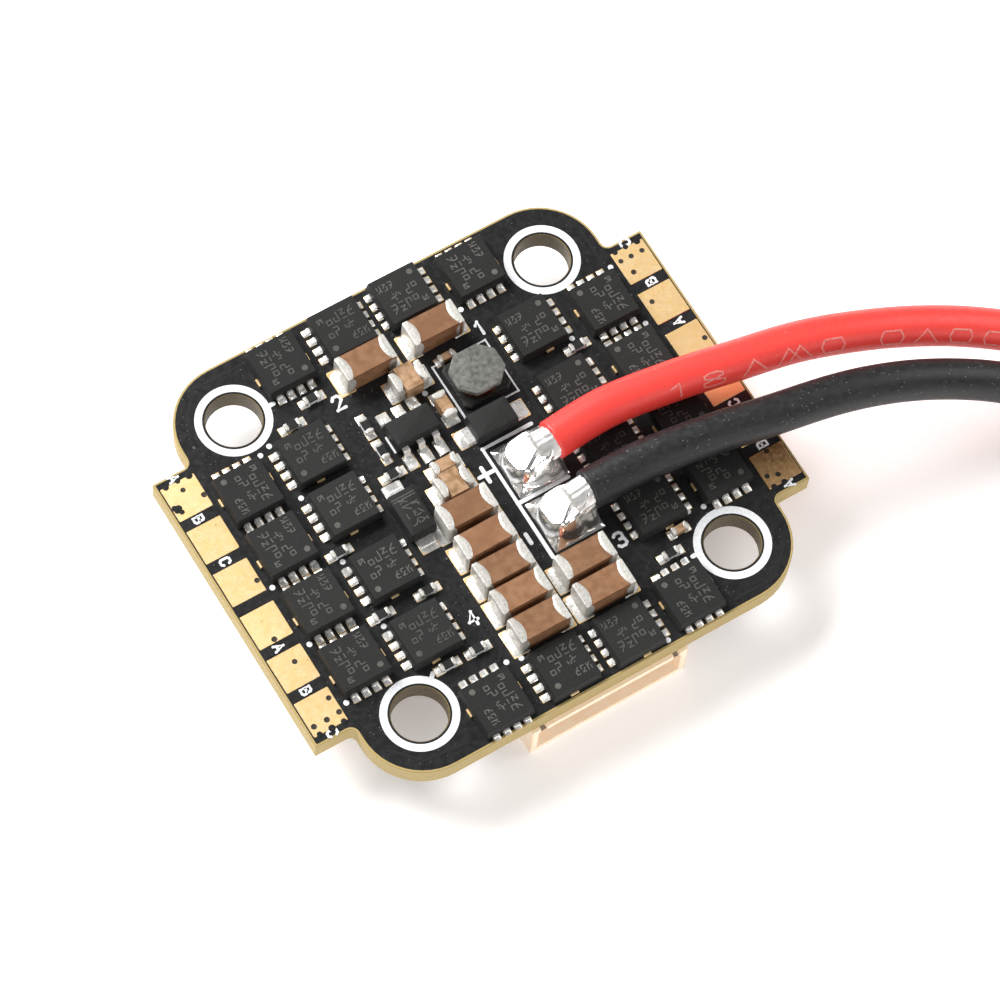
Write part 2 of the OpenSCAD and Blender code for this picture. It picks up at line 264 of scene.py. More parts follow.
@dataclass(frozen=True)
class LaminateFinish(Finish):
    """Glass-fibre laminate, whose routed edge shows its layers."""

    thickness: float = 1.4
    layers: int = 7
    band: Colour = (0.8, 0.66, 0.34)

    def base_colour(self, graph: Graph, place: Socket, mask: Socket) -> Socket:
        """Lays pale glass layers between darker resin.

        Args:
            graph: the material's graph.
            place: position on the piece in millimetres.
            mask: the grain's mask.

        Returns:
            The colour's socket.
        """
        height = graph.add("ShaderNodeSeparateXYZ", {0: place}).outputs[2]
        turns = graph.math("MULTIPLY", height, tau * self.layers / self.thickness)
        wave = graph.ramp(graph.math("SINE", turns), -0.4, 0.9)
        fibre = graph.blend(graph.math("MULTIPLY", wave, mask), self.colour, self.band)
        return graph.blend(graph.math("MULTIPLY", mask, 0.35), fibre, self.shade)


@dataclass(frozen=True)
class SolderFinish(Finish):
    """Bright solder with faint copper and flux tints."""

    tint: Colour = (0.75, 0.42, 0.32)

    def base_colour(self, graph: Graph, place: Socket, mask: Socket) -> Socket:
        """Adds a few coppery spots where the strands show through.

        Args:
            graph: the material's graph.
            place: position on the piece in millimetres.
            mask: the grain's mask.

        Returns:
            The colour's socket.
        """
        bright = graph.blend(mask, self.colour, self.shade)
        patches = graph.add("ShaderNodeTexNoise", {"Vector": place, "Scale": 1.7, "Detail": 2.0, "Distortion": 1.2})
        return graph.blend(graph.ramp(patches.outputs[0], 0.7, 0.76, 0.0, 0.7), bright, self.tint)


@lru_cache(maxsize=None)
def material_of(finish: Finish) -> bpy.types.Material:
    """Builds a finish's material once.

    Args:
        finish: the finish.

    Returns:
        Its material.
    """
    material = bpy.data.materials.new(finish.name)
    material.use_nodes = True
    graph = Graph(material.node_tree)
    shader = next(n for n in graph.tree.nodes if n.type == "BSDF_PRINCIPLED")
    place = graph.add(
        "ShaderNodeVectorMath",
        {0: graph.add("ShaderNodeTexCoord").outputs["Object"], "Scale": 1 / MM},
        operation="SCALE",
    ).outputs[0]

    def use(group: Tree, **inputs: Any) -> bpy.types.Node:
        """Adds a shared group fed with the position."""
        node = graph.add("ShaderNodeGroup", node_tree=group)
        graph.tree.links.new(place, node.inputs["Place"])
        for key, value in inputs.items():
            node.inputs[key].default_value = value
        return node

    grain = use(grain_group(), Scale=finish.grain, Stretch=finish.stretch)
    colour = finish.base_colour(graph, place, grain.outputs["Mask"])
    rough = graph.ramp(
        grain.outputs["Mask"], 0, 1, finish.roughness - finish.rough_span, finish.roughness + finish.rough_span
    )
    if finish.rub:
        colour = graph.blend(use(wear_group(), Amount=finish.rub).outputs[0], colour, finish.rubbed)
    if finish.speck_share:
        specks = use(specks_group(), Scale=finish.speck_scale, Share=finish.speck_share)
        colour = graph.blend(specks.outputs[0], colour, finish.speck)
    if finish.tone:
        tone = graph.add("ShaderNodeAttribute", attribute_name="tone").outputs["Fac"]
        level = graph.math("ADD", graph.math("MULTIPLY", tone, finish.tone), 1.0)
        colour = graph.add("ShaderNodeVectorMath", {0: colour, "Scale": level}, operation="SCALE").outputs[0]
    if finish.dust:
        dust = use(dust_group(), Amount=finish.dust)
        colour = graph.blend(dust.outputs[0], colour, DUST_COLOUR)
        rough = graph.math("ADD", rough, graph.math("MULTIPLY", dust.outputs[0], 0.3), clamp=True)
    height = graph.math("MULTIPLY", grain.outputs["Height"], finish.relief)
    if finish.wave:
        swell = graph.add("ShaderNodeTexNoise", {"Vector": place, "Scale": finish.wave_scale, "Detail": 2.0})
        height = graph.math("ADD", height, graph.math("MULTIPLY", swell.outputs[0], finish.wave))
    bump = graph.add("ShaderNodeBump", {"Strength": 1.0, "Distance": MM, "Height": height})
    for name, source in (("Base Color", colour), ("Roughness", rough), ("Normal", bump.outputs[0])):
        graph.tree.links.new(source, shader.inputs[name])
    # Emission in the finish's own colour, as strong as painted_glow: painted light, zero for most finishes.
    for name, value in (
        ("Metallic", finish.metallic),
        ("Specular IOR Level", finish.specular),
        ("Coat Weight", finish.coat),
        ("Coat Roughness", finish.coat_roughness),
        ("Emission Color", (*finish.colour, 1.0)),
        ("Emission Strength", finish.painted_glow),
    ):
        shader.inputs[name].default_value = value
    return material


MASK = Finish(
    "black_solder_mask", "black_mask", (0.012, 0.012, 0.0125), (0.017, 0.017, 0.0175), 0.34, 0.05, specular=0.34,
    grain=3.0, relief=0.0015, wave=0.006, wave_scale=0.8, speck=(0.1, 0.1, 0.1), speck_scale=2.2, speck_share=0.05,
    dust=0.5,
)
TRACK = Finish(
    "masked_copper", "black_mask", (0.021, 0.021, 0.0215), (0.016, 0.016, 0.0165), 0.3, 0.05, specular=0.45,
    grain=4.0, relief=0.002,
)
LAMINATE = LaminateFinish(
    "glass_laminate", "black_mask", (0.42, 0.3, 0.1), (0.2, 0.14, 0.05), 0.6, 0.1, grain=9.0, stretch=(1, 1, 5),
    relief=0.012,
)
INK = Finish(
    "white_ink", "black_mask", (0.86, 0.87, 0.88), (0.7, 0.71, 0.72), 0.5, 0.08, grain=7.0, relief=0.003,
)
GOLD = Finish(
    "gold_plating", "gold_plating", (0.95, 0.66, 0.3), (0.92, 0.62, 0.27), 0.44, 0.06, metallic=0.7, grain=9.0,
    relief=0.0012, wave=0.004, wave_scale=1.1, speck=(0.6, 0.4, 0.18), speck_scale=3.0, speck_share=0.06,
    rubbed=(1.0, 0.86, 0.6), rub=0.4,
)
CHIP_END = Finish(
    "silvered_ends", "bright_tin", (0.74, 0.72, 0.67), (0.5, 0.48, 0.44), 0.42, 0.1, metallic=0.4, grain=6.0,
    relief=0.02, speck=(0.16, 0.15, 0.13), speck_scale=6.5, speck_share=0.7,
)
TIN = Finish(
    "bright_tin", "bright_tin", (0.98, 0.97, 0.94), (0.84, 0.82, 0.77), 0.32, 0.1, metallic=0.6, grain=5.0,
    relief=0.014, rubbed=(1, 1, 1), rub=0.3,
)
SOLDER = SolderFinish(
    "bright_solder", "bright_tin", (0.98, 0.97, 0.95), (0.93, 0.92, 0.9), 0.2, 0.05, metallic=0.93, grain=1.2,
    relief=0.0008, wave=0.004, wave_scale=0.9,
)
TINNED = SolderFinish(
    "tinned_strands", "bright_tin", (0.98, 0.97, 0.95), (0.93, 0.92, 0.9), 0.42, 0.08, metallic=0.9, grain=2.4,
    relief=0.0015, wave=0.004, wave_scale=0.9,
)
MOULD = Finish(
    "black_moulding", "black_mould", (0.016, 0.016, 0.0156), (0.022, 0.022, 0.021), 0.55, 0.06, specular=0.2,
    grain=13.0, relief=0.006, speck=(0.07, 0.07, 0.065), speck_scale=11.0, speck_share=0.12,
)
MARKING = Finish(
    "laser_marking", "black_mould", (0.098, 0.093, 0.08), (0.056, 0.054, 0.047), 0.7, 0.1, grain=14.0, relief=0.003,
)
CERAMIC = Finish(
    "brown_ceramic", "brown_ceramic", (0.216, 0.103, 0.049), (0.202, 0.095, 0.044), 0.5, 0.06, specular=0.3,
    grain=5.0, relief=0.002, rubbed=(0.4, 0.22, 0.12), rub=0.35, speck=(0.17, 0.08, 0.04), speck_scale=5.0,
    speck_share=0.08,
)
TAN_CERAMIC = Finish(
    "tan_ceramic", "brown_ceramic", (0.255, 0.14, 0.056), (0.215, 0.116, 0.045), 0.5, 0.06, grain=5.0, relief=0.002,
    rubbed=(0.66, 0.42, 0.26), rub=0.5,
)
FERRITE = Finish(
    "grey_ferrite", "grey_ferrite", (0.15, 0.15, 0.135), (0.06, 0.06, 0.055), 0.62, 0.12, grain=3.6, relief=0.012,
    speck=(0.3, 0.3, 0.27), speck_scale=6.0, speck_share=0.2, rubbed=(0.34, 0.34, 0.31), rub=0.5,
)
# Near-black ferrite for the inductor's lower flange and post: painted shade under the top flange.
SHADED_FERRITE = Finish(
    "ferrite_in_painted_shade", "grey_ferrite", (0.014, 0.014, 0.013), (0.024, 0.023, 0.021), 0.35, 0.1, specular=0.3,
    grain=4.0, relief=0.008, rubbed=(0.1, 0.1, 0.09), rub=0.4,
)
WINDING = Finish(
    "enamelled_copper", "enamelled_copper", (0.16, 0.05, 0.02), (0.09, 0.028, 0.012), 0.3, 0.08, metallic=0.85,
    coat=0.3, grain=5.0, relief=0.002,
)
COPPER = Finish(
    "bare_copper", "bare_copper", (0.82, 0.38, 0.25), (0.5, 0.18, 0.12), 0.34, 0.1, metallic=0.7, grain=6.0,
    relief=0.004,
)
# The red lead's painted_glow is painted light: it lifts the lead's shaded underside.
RED_SILICONE = Finish(
    "red_silicone", "red_silicone", (0.86, 0.052, 0.04), (0.82, 0.042, 0.033), 0.43, 0.05, specular=0.7, grain=3.0,
    relief=0.003, wave=0.008, wave_scale=0.5, speck=(0.9, 0.2, 0.16), speck_scale=3.6, speck_share=0.05, dust=0.15,
    painted_glow=0.08,
)
BLACK_SILICONE = Finish(
    "black_silicone", "black_silicone", (0.011, 0.011, 0.0115), (0.016, 0.016, 0.0165), 0.45, 0.07, specular=0.5,
    grain=3.0, relief=0.005, wave=0.012, wave_scale=0.6, speck=(0.13, 0.125, 0.115), speck_scale=4.2,
    speck_share=0.16, dust=0.8,
)
PRINT = Finish(
    "worn_print", "red_silicone", (0.9, 0.38, 0.33), (0.86, 0.14, 0.12), 0.6, 0.1, grain=11.0, relief=0.003,
)
SLEEVE = Finish(
    "shrunk_sleeve", "black_sleeve", (0.02, 0.02, 0.021), (0.028, 0.028, 0.03), 0.4, 0.08, grain=4.0, relief=0.006,
    wave=0.03, wave_scale=0.8, dust=0.6,
)
# The socket's painted_glow is painted light: it stands in for light bouncing into the socket and passing through the
# nylon.
IVORY = Finish(
    "natural_nylon", "ivory_nylon", (0.95, 0.74, 0.53), (0.92, 0.69, 0.47), 0.42, 0.06, grain=5.0, relief=0.003,
    rubbed=(0.95, 0.87, 0.74), rub=0.5, painted_glow=0.16,
)
YELLOW = Finish(
    "yellow_nylon", "yellow_nylon", (0.84, 0.5, 0.03), (0.81, 0.47, 0.026), 0.4, 0.07, grain=7.0, relief=0.003,
    rubbed=(0.9, 0.62, 0.14), rub=0.25, dust=0.3,
)
# Dark laminate for the mounting holes' walls: painted shade inside the holes.
HOLE_WALL_SHADE = Finish(
    "laminate_in_painted_shade", "black_mask", (0.13, 0.095, 0.04), (0.07, 0.05, 0.024), 0.5, 0.1, grain=7.0,
    stretch=(1, 1, 6), relief=0.01,
)
# Darker, fully metallic gold for one motor pad: painted shadow from the nearby leads and a painted dark reflection.
GOLD_PAINTED_SHADOW = Finish(
    "gold_in_painted_shadow", "gold_plating", (0.92, 0.57, 0.27), (0.8, 0.46, 0.2), 0.38, 0.08, metallic=1.0, grain=5.0,
    relief=0.004, speck=(0.7, 0.3, 0.16), speck_scale=2.0, speck_share=0.1, rubbed=(0.95, 0.62, 0.3), rub=0.9,
)
# Near-black colour for the pads' holes: painted shade inside each hole.
HOLE_SHADOW = Finish(
    "painted_hole_shadow", "gold_plating", (0.012, 0.009, 0.006), (0.03, 0.021, 0.012), 0.6, 0.1, grain=9.0,
)


# ---- mesh building


class Shell:
    """Gathers closed shapes in millimetres and turns them into one mesh."""

    def __init__(self) -> None:
        """Starts empty."""
        self.points: list[Place] = []
        self.faces: list[tuple[int, ...]] = []

    def add(self, points: Iterable[Point], faces: Iterable[Sequence[int]]) -> None:
        """Adds a shape.

        Args:
            points: its points.
            faces: its faces, as indexes into points.
        """
        base = len(self.points)
        self.points += [tuple(p) for p in points]
        self.faces += [tuple(base + i for i in f) for f in faces]

    def loft(self, rings: Sequence[Sequence[Point]], close: bool = True) -> None:
        """Skins closed rings of equal length and caps both ends with a fan.

        Args:
            rings: the rings, in order.
            close: whether the ends are capped.
        """
        n = len(rings[0])
        points = [p for ring in rings for p in ring]
        faces = [
            (i * n + k, i * n + (k + 1) % n, (i + 1) * n + (k + 1) % n, (i + 1) * n + k)
            for i in range(len(rings) - 1)
            for k in range(n)
        ]
        if close:
            last = len(points) - n
            for start, flip in ((0, True), (last, False)):
                middle = sum((Vector(p) for p in points[start : start + n]), Vector()) / n
                centre = len(points)
                points.append(tuple(middle))
                for k in range(n):
                    pair = (start + k, start + (k + 1) % n)
                    faces.append((centre, *(reversed(pair) if flip else pair)))
        self.add(points, faces)

    def box(self, low: Point, high: Point) -> None:
        """Adds a box.

        Args:
            low: lowest corner.
            high: highest corner.
        """
        around = ((low[0], low[1]), (high[0], low[1]), (high[0], high[1]), (low[0], high[1]))
        points = [(x, y, z) for z in (low[2], high[2]) for x, y in around]
        faces = [(3, 2, 1, 0), (4, 5, 6, 7), *((k, (k + 1) % 4, 4 + (k + 1) % 4, 4 + k) for k in range(4))]
        self.add(points, faces)

    def strip(self, profile: Loop, width: float, turn: float = 0.0, at: Point = (0, 0, 0)) -> None:
        """Adds a flat strip: a closed X-Z outline drawn out along Y.

        Args:
            profile: the outline, anticlockwise as seen from -Y.
            width: the strip's width.
            turn: turn about Z in radians.
            at: where its origin goes.
        """
        n = len(profile)
        spin = Matrix.Rotation(turn, 3, "Z")
        points = [Vector(at) + spin @ Vector((x, s * width / 2, z)) for s in (-1, 1) for x, z in profile]
        faces = [tuple(range(n)), tuple(reversed(range(n, 2 * n)))]
        faces += [(k, n + k, n + (k + 1) % n, (k + 1) % n) for k in range(n)]
        self.add(points, faces)

    def plate(self, outline: Loop, holes: Sequence[Loop], low: float, high: float, chamfer: float = 0.0) -> None:
        """Adds a flat plate with holes and slightly broken edges.

        Args:
            outline: the outer edge, anticlockwise.
            holes: inner edges.
            low: height of the underside.
            high: height of the top.
            chamfer: how far its edges are broken.
        """
        for loop, outer in [(outline, True), *((h, False) for h in holes)]:
            inner = offset_loop(loop, -chamfer if outer else chamfer) if chamfer else loop
            steps = [(inner, low), (loop, low + chamfer), (loop, high - chamfer), (inner, high)]
            rings = [[(x, y, z) for x, y in ring] for ring, z in (steps if chamfer else [steps[0], steps[3]])]
            if not outer:
                rings = rings[::-1]
            self.loft(rings, close=False)
        loops = [
            offset_loop(loop, -chamfer if k == 0 else chamfer) if chamfer else loop
            for k, loop in enumerate([outline, *holes])
        ]
        flat = [Vector((x, y, 0)) for loop in loops for x, y in loop]
        for z, up in ((high, True), (low, False)):
            triangles = tessellate_polygon([[Vector((x, y, 0)) for x, y in loop] for loop in loops])
            faces = []
            for a, b, c in triangles:
                turned = (flat[b] - flat[a]).cross(flat[c] - flat[a]).z > 0
                faces.append((a, b, c) if turned == up else (c, b, a))
            self.add([(p.x, p.y, z) for p in flat], faces)

    def object(self, name: str, bevel: float = 0.0, segments: int = 2, smooth: float = 40.0) -> Piece:
        """Makes the mesh object, in metres.

        Args:
            name: the object's name.
            bevel: width of the bevel on its sharp edges.
            segments: the bevel's segments.
            smooth: edges sharper than this many degrees stay sharp.

        Returns:
            The new object, in the scene.
        """
        mesh = bpy.data.meshes.new(name)
        mesh.from_pydata([[c * MM for c in p] for p in self.points], [], self.faces)
        shape = bmesh.new()
        shape.from_mesh(mesh)
        bmesh.ops.remove_doubles(shape, verts=shape.verts, dist=1e-7)
        finish_edges(shape, bevel, segments, smooth)
        shape.to_mesh(mesh)
        shape.free()
        return link(name, mesh)


def dressed(piece: Piece, finish: Finish) -> Piece:
    """Puts a piece in a finish and returns it."""
    piece.data.materials.append(material_of(finish))
    return piece


def offset_loop(loop: Loop, distance: float) -> Loop:
    """Moves a closed loop's points along their outward normals.

    Args:
        loop: an anticlockwise loop.
        distance: how far, outwards if positive.

    Returns:
        The moved loop.
    """
    made = []
    for k, (x, y) in enumerate(loop):
        before, after = Vector(loop[k - 1]), Vector(loop[(k + 1) % len(loop)])
        here = Vector((x, y))
        a, b = (here - before).normalized(), (after - here).normalized()
        normal = Vector((a.y + b.y, -a.x - b.x))
        scale = distance / max(0.3, normal.length / 2)
        normal.normalize()
        made.append((x + normal.x * scale, y + normal.y * scale))
    return made


def finish_edges(shape: bmesh.types.BMesh, bevel: float, segments: int, smooth: float) -> None:
    """Bevels a mesh's sharp edges and marks what stays sharp.

    Args:
        shape: the mesh being edited, in metres.
        bevel: bevel width in millimetres, or 0.
        segments: the bevel's segments.
        smooth: edges sharper than this many degrees stay sharp.
    """
    limit = radians(smooth)
    if bevel:
        sharp = [e for e in shape.edges if len(e.link_faces) == 2 and e.calc_face_angle(0) > BEVELLED_FROM]
        bmesh.ops.bevel(
            shape, geom=sharp, offset=bevel * MM, segments=segments, profile=0.6, affect="EDGES", clamp_overlap=True
        )
        wide = [f for f in shape.faces if f.calc_area() > (4 * bevel * MM) ** 2 and len(f.verts) > 3]
        bmesh.ops.inset_individual(shape, faces=wide, thickness=0.5 * bevel * MM, use_even_offset=True)
    for face in shape.faces:
        face.smooth = True
    for edge in shape.edges:
        edge.smooth = not (len(edge.link_faces) == 2 and edge.calc_face_angle(0) > limit)


def link(name: str, mesh: bpy.types.Mesh) -> Piece:
    """Puts a mesh in the scene as an object.

    Args:
        name: the object's name.
        mesh: its mesh.

    Returns:
        The object.
    """
    made = bpy.data.objects.new(name, mesh)
    bpy.context.scene.collection.objects.link(made)
    return made


def merged_copy(node: str) -> bmesh.types.BMesh:
    """Copies a solid model node's mesh with its loose triangles joined.

    Args:
        node: the node's name.

    Returns:
        The copy, in metres.
    """
    shape = bmesh.new()
    shape.from_mesh(bpy.data.objects[node].data)
    bmesh.ops.remove_doubles(shape, verts=shape.verts, dist=2e-7)
    return shape


def solids_of(node: str) -> list[Box]:
    """Finds the boxes of a node's separate solids.

    Args:
        node: the node's name.

    Returns:
        Lowest and highest corner of each solid, in millimetres, in a fixed order.
    """
    shape = merged_copy(node)
    left = set(shape.verts)
    boxes = []
    while left:
        todo = [left.pop()]
        found = []
        while todo:
            vert = todo.pop()
            found.append(vert.co / MM)
            for edge in vert.link_edges:
                other = edge.other_vert(vert)
                if other in left:
                    left.discard(other)
                    todo.append(other)
        low = Vector([min(p[i] for p in found) for i in range(3)])
        high = Vector([max(p[i] for p in found) for i in range(3)])
        boxes.append((low, high))
    shape.free()
    return sorted(boxes, key=lambda b: tuple(round(v, 3) for v in (*b[0], *b[1])))


def softened(node: str, name: str, bevel: float) -> Piece:
    """Makes a copy of a node with its edges rounded.

    Args:
        node: the node's name.
        name: the new object's name.
        bevel: the bevel's width.

    Returns:
        The new object.
    """
    shape = merged_copy(node)
    bmesh.ops.dissolve_limit(shape, angle_limit=radians(1.0), verts=shape.verts, edges=shape.edges)
    finish_edges(shape, bevel, 2, 40.0)
    mesh = bpy.data.meshes.new(name)
    shape.to_mesh(mesh)
    shape.free()
    return link(name, mesh)


def box_of(node: str) -> Box:
    """Returns a node's lowest and highest corner in millimetres."""
    low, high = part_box(node)
    return low / MM, high / MM


def foot(box: Box) -> Place:
    """Returns the middle of a box's underside."""
    low, high = box
    return (low.x + high.x) / 2, (low.y + high.y) / 2, low.z


def centre_of(box: Box) -> Vector:
    """Returns a box's middle."""
    return (box[0] + box[1]) / 2


def circle(radius: float, count: int, at: Point = (0.0, 0.0)) -> Loop:
    """Returns an anticlockwise circle of points."""
    return [
        (at[0] + radius * cos(tau * k / count), at[1] + radius * sin(tau * k / count))
        for k in range(count)
    ]


def rounded(width: float, length: float, radius: float, steps: int = 4) -> Loop:
    """Returns an anticlockwise rectangle with round corners, centred on the origin."""
    loop = []
    x, y = width / 2 - radius, length / 2 - radius
    for k, (sx, sy) in enumerate(((1, 1), (-1, 1), (-1, -1), (1, -1))):
        for i in range(steps + 1):
            a = pi / 2 * (k + i / steps)
            loop.append((sx * x + radius * cos(a), sy * y + radius * sin(a)))
    return loop


def stacked(make: Callable[[float], Loop], steps: Iterable[Flat], at: Point = (0.0, 0.0)) -> list[list[Place]]:
    """Makes rings from a loop drawn at each step's size and set at its height, about a middle."""
    return [[(at[0] + x, at[1] + y, z) for x, y in make(size)] for size, z in steps]


def moulding(box: Box, steps: Iterable[Flat], corner: float = 0.06) -> list[list[Place]]:
    """Makes a moulded body's rings from shares of its whole section and their heights."""
    size = box[1] - box[0]
    return stacked(lambda k: rounded(size.x * k, size.y * k, corner, 2), steps, foot(box))


# ---- geometry nodes


@dataclass
class Spot:
    """A place for one copy: its position, turn about Z in degrees and size."""

    at: Point
    turn: float = 0.0
    size: Place = (1.0, 1.0, 1.0)


def _interface(name: str, sockets: dict[str, tuple[str, Any]]) -> tuple[Graph, Any, Any, dict[str, str]]:
    """Starts a geometry tree with a Geometry socket in and out.

    Args:
        name: the tree's name.
        sockets: named inputs with their kind and value.

    Returns:
        The graph, what the tree is given, what it puts out and each input's identifier.
    """
    tree = bpy.data.node_groups.new(name, "GeometryNodeTree")
    tree.interface.new_socket("Geometry", in_out="INPUT", socket_type="NodeSocketGeometry")
    found = {}
    for key, (kind, value) in sockets.items():
        socket = tree.interface.new_socket(key, in_out="INPUT", socket_type="NodeSocket" + kind)
        if value is not None:
            socket.default_value = value
        found[key] = socket.identifier
    tree.interface.new_socket("Geometry", in_out="OUTPUT", socket_type="NodeSocketGeometry")
    graph = Graph(tree)
    return graph, graph.add("NodeGroupInput").outputs, graph.add("NodeGroupOutput").inputs, found


def _dressed(graph: Graph, shape: Socket, given: Any, out: Any) -> Tree:
    """Ends a geometry tree: real copies, in the finish that it is given.

    Args:
        graph: the tree's graph.
        shape: the shape that the tree has made.
        given: what the tree is given.
        out: what it puts out.

    Returns:
        The tree.
    """
    real = graph.add("GeometryNodeRealizeInstances", {0: shape})
    dressed = graph.add("GeometryNodeSetMaterial", {0: real.outputs[0], "Material": given["Finish"]})
    graph.tree.links.new(dressed.outputs[0], out[0])
    return graph.tree


@lru_cache(maxsize=None)
def copies_tree() -> NamedTree:
    """Builds the tree that sets a copy of a shape on every point.

    Returns:
        The tree and its inputs' identifiers.
    """
    graph, given, out, names = _interface(
        "set_copies",
        {
            "Shape": ("Object", None),
            "Size Variation": ("Float", 0.0),
            "Turn Variation": ("Float", 0.0),
            "Tone Variation": ("Float", 0.1),
            "Seed": ("Int", 0),
            "Finish": ("Material", None),
        },
    )
    shape = graph.add("GeometryNodeObjectInfo", {"Object": given["Shape"]}, transform_space="ORIGINAL")
    turn = graph.add("GeometryNodeInputNamedAttribute", {"Name": "turn"}, data_type="FLOAT_VECTOR")
    size = graph.add("GeometryNodeInputNamedAttribute", {"Name": "size"}, data_type="FLOAT_VECTOR")

    def spread(key: str, seed_step: int) -> Socket:
        """Adds a random value either side of 0, as wide as an input says."""
        seed = graph.math("ADD", given["Seed"], seed_step)
        back = graph.math("MULTIPLY", given[key], -1.0)
        node = graph.add("FunctionNodeRandomValue", {2: back, 3: given[key], 8: seed}, data_type="FLOAT")
        return node.outputs[1]

    tilt = graph.add("ShaderNodeCombineXYZ", {0: 0.0, 1: 0.0, 2: spread("Turn Variation", 1)})
    turned = graph.add("ShaderNodeVectorMath", {0: turn.outputs[0], 1: tilt.outputs[0]}, operation="ADD")
    grown = graph.math("ADD", spread("Size Variation", 2), 1.0)
    sized = graph.add("ShaderNodeVectorMath", {0: size.outputs[0], "Scale": grown}, operation="SCALE")
    copies = graph.add(
        "GeometryNodeInstanceOnPoints",
        {
            "Points": given["Geometry"],
            "Instance": shape.outputs["Geometry"],
            "Rotation": graph.add("FunctionNodeEulerToRotation", {0: turned.outputs[0]}).outputs[0],
            "Scale": sized.outputs[0],
        },
    )
    toned = graph.add(
        "GeometryNodeStoreNamedAttribute",
        {"Geometry": copies.outputs[0], "Name": "tone", "Value": spread("Tone Variation", 3)},
        data_type="FLOAT",
        domain="INSTANCE",
    )
    return _dressed(graph, toned.outputs[0], given, out), names


@lru_cache(maxsize=None)
def pen_tree() -> NamedTree:
    """Builds the tree that turns edges into flat pen strokes with round ends.

    Returns:
        The tree and its inputs' identifiers.
    """
    graph, given, out, names = _interface(
        "pen_strokes",
        {
            "Width": ("Float", 0.0002),
            "Thickness": ("Float", 0.00002),
            "Ends": ("Int", 10),
            "Finish": ("Material", None),
        },
    )
    line = graph.add("GeometryNodeMeshToCurve", {0: given["Geometry"]})
    upright = graph.add("GeometryNodeSetCurveNormal", {0: line.outputs[0]}, mode="Z_UP")
    section = graph.add(
        "GeometryNodeCurvePrimitiveQuadrilateral", {"Width": given["Width"], "Height": given["Thickness"]}
    )
    ribbon = graph.add("GeometryNodeCurveToMesh", {0: upright.outputs[0], 1: section.outputs[0], "Fill Caps": True})
    disc = graph.add(
        "GeometryNodeMeshCylinder",
        {
            "Vertices": given["Ends"],
            "Radius": graph.math("MULTIPLY", given["Width"], 0.5),
            "Depth": graph.math("MULTIPLY", given["Thickness"], 0.96),
        },
    )
    caps = graph.add("GeometryNodeInstanceOnPoints", {"Points": given["Geometry"], "Instance": disc.outputs[0]})
    joined = graph.add("GeometryNodeJoinGeometry")
    graph.tree.links.new(caps.outputs[0], joined.inputs[0])
    graph.tree.links.new(ribbon.outputs[0], joined.inputs[0])
    return _dressed(graph, joined.outputs[0], given, out), names


@lru_cache(maxsize=None)
def coil_tree() -> NamedTree:
    """Builds the tree that winds a wire into a coil about Z.

    Returns:
        The tree and its inputs' identifiers.
    """
    graph, given, out, names = _interface(
        "wound_coil",
        {
            "Turns": ("Float", 5.0),
            "Radius": ("Float", 0.0012),
            "Height": ("Float", 0.0006),
            "Wire": ("Float", 0.00014),
            "Centre": ("Vector", (0, 0, 0)),
            "Finish": ("Material", None),
        },
    )
    path = graph.add(
        "GeometryNodeCurveSpiral",
        {
            "Resolution": 48,
            "Rotations": given["Turns"],
            "Start Radius": given["Radius"],
            "End Radius": given["Radius"],
            "Height": given["Height"],
        },
    )
    section = graph.add(
        "GeometryNodeCurvePrimitiveCircle", {"Resolution": 10, "Radius": graph.math("MULTIPLY", given["Wire"], 0.5)}
    )
    wire = graph.add("GeometryNodeCurveToMesh", {0: path.outputs[0], 1: section.outputs[0], "Fill Caps": True})
    moved = graph.add("GeometryNodeTransform", {0: wire.outputs[0], "Translation": given["Centre"]})
    smooth = graph.add("GeometryNodeSetShadeSmooth", {0: moved.outputs[0]})
    return _dressed(graph, smooth.outputs[0], given, out), names


def grow(name: str, seed: Piece, built: NamedTree, **values: Any) -> Piece:
    """Runs a geometry tree on an object and keeps the result as a plain mesh.

    Args:
        name: the new object's name.
        seed: the object the tree works on, removed afterwards.
        built: the tree and its inputs' identifiers.
        values: the inputs, with _ for each space in a name.

    Returns:
        The new object.
    """
    tree, names = built
    modifier = seed.modifiers.new("shape", "NODES")
    modifier.node_group = tree
    for key, value in values.items():
        modifier[names[key.replace("_", " ")]] = value
    graph = bpy.context.evaluated_depsgraph_get()
    mesh = bpy.data.meshes.new_from_object(seed.evaluated_get(graph), depsgraph=graph)
    mesh.name = name
    seed.modifiers.clear()
    bpy.data.objects.remove(seed)
    return link(name, mesh)


def set_copies(
    name: str,
    spots: Sequence[Spot],
    shape: Piece,
    finish: Finish,
    seed: int,
    vary: Place = (0.0, 0.0, 0.1),
) -> Piece:
    """Sets copies of a shape at many places, as one mesh.

    Args:
        name: the new object's name.
        spots: the places.
        shape: the shape, removed afterwards.
        finish: what the copies are dressed in.
        seed: fixes what is random.
        vary: how far size, turn in degrees and tone vary either way.

    Returns:
        The new object.
    """
    mesh = bpy.data.meshes.new(name + "_places")
    mesh.from_pydata([[c * MM for c in s.at] for s in spots], [], [])
    for key, rows in (("turn", [(0, 0, radians(s.turn)) for s in spots]), ("size", [s.size for s in spots])):
        layer = mesh.attributes.new(key, "FLOAT_VECTOR", "POINT")
        layer.data.foreach_set("vector", [v for row in rows for v in row])
    made = grow(
        name,
        link(name + "_places", mesh),
        copies_tree(),
        Shape=shape,
        Size_Variation=vary[0],
        Turn_Variation=radians(vary[1]),
        Tone_Variation=vary[2],
        Seed=seed,
        Finish=material_of(finish),
    )
    bpy.data.objects.remove(shape)
    return made


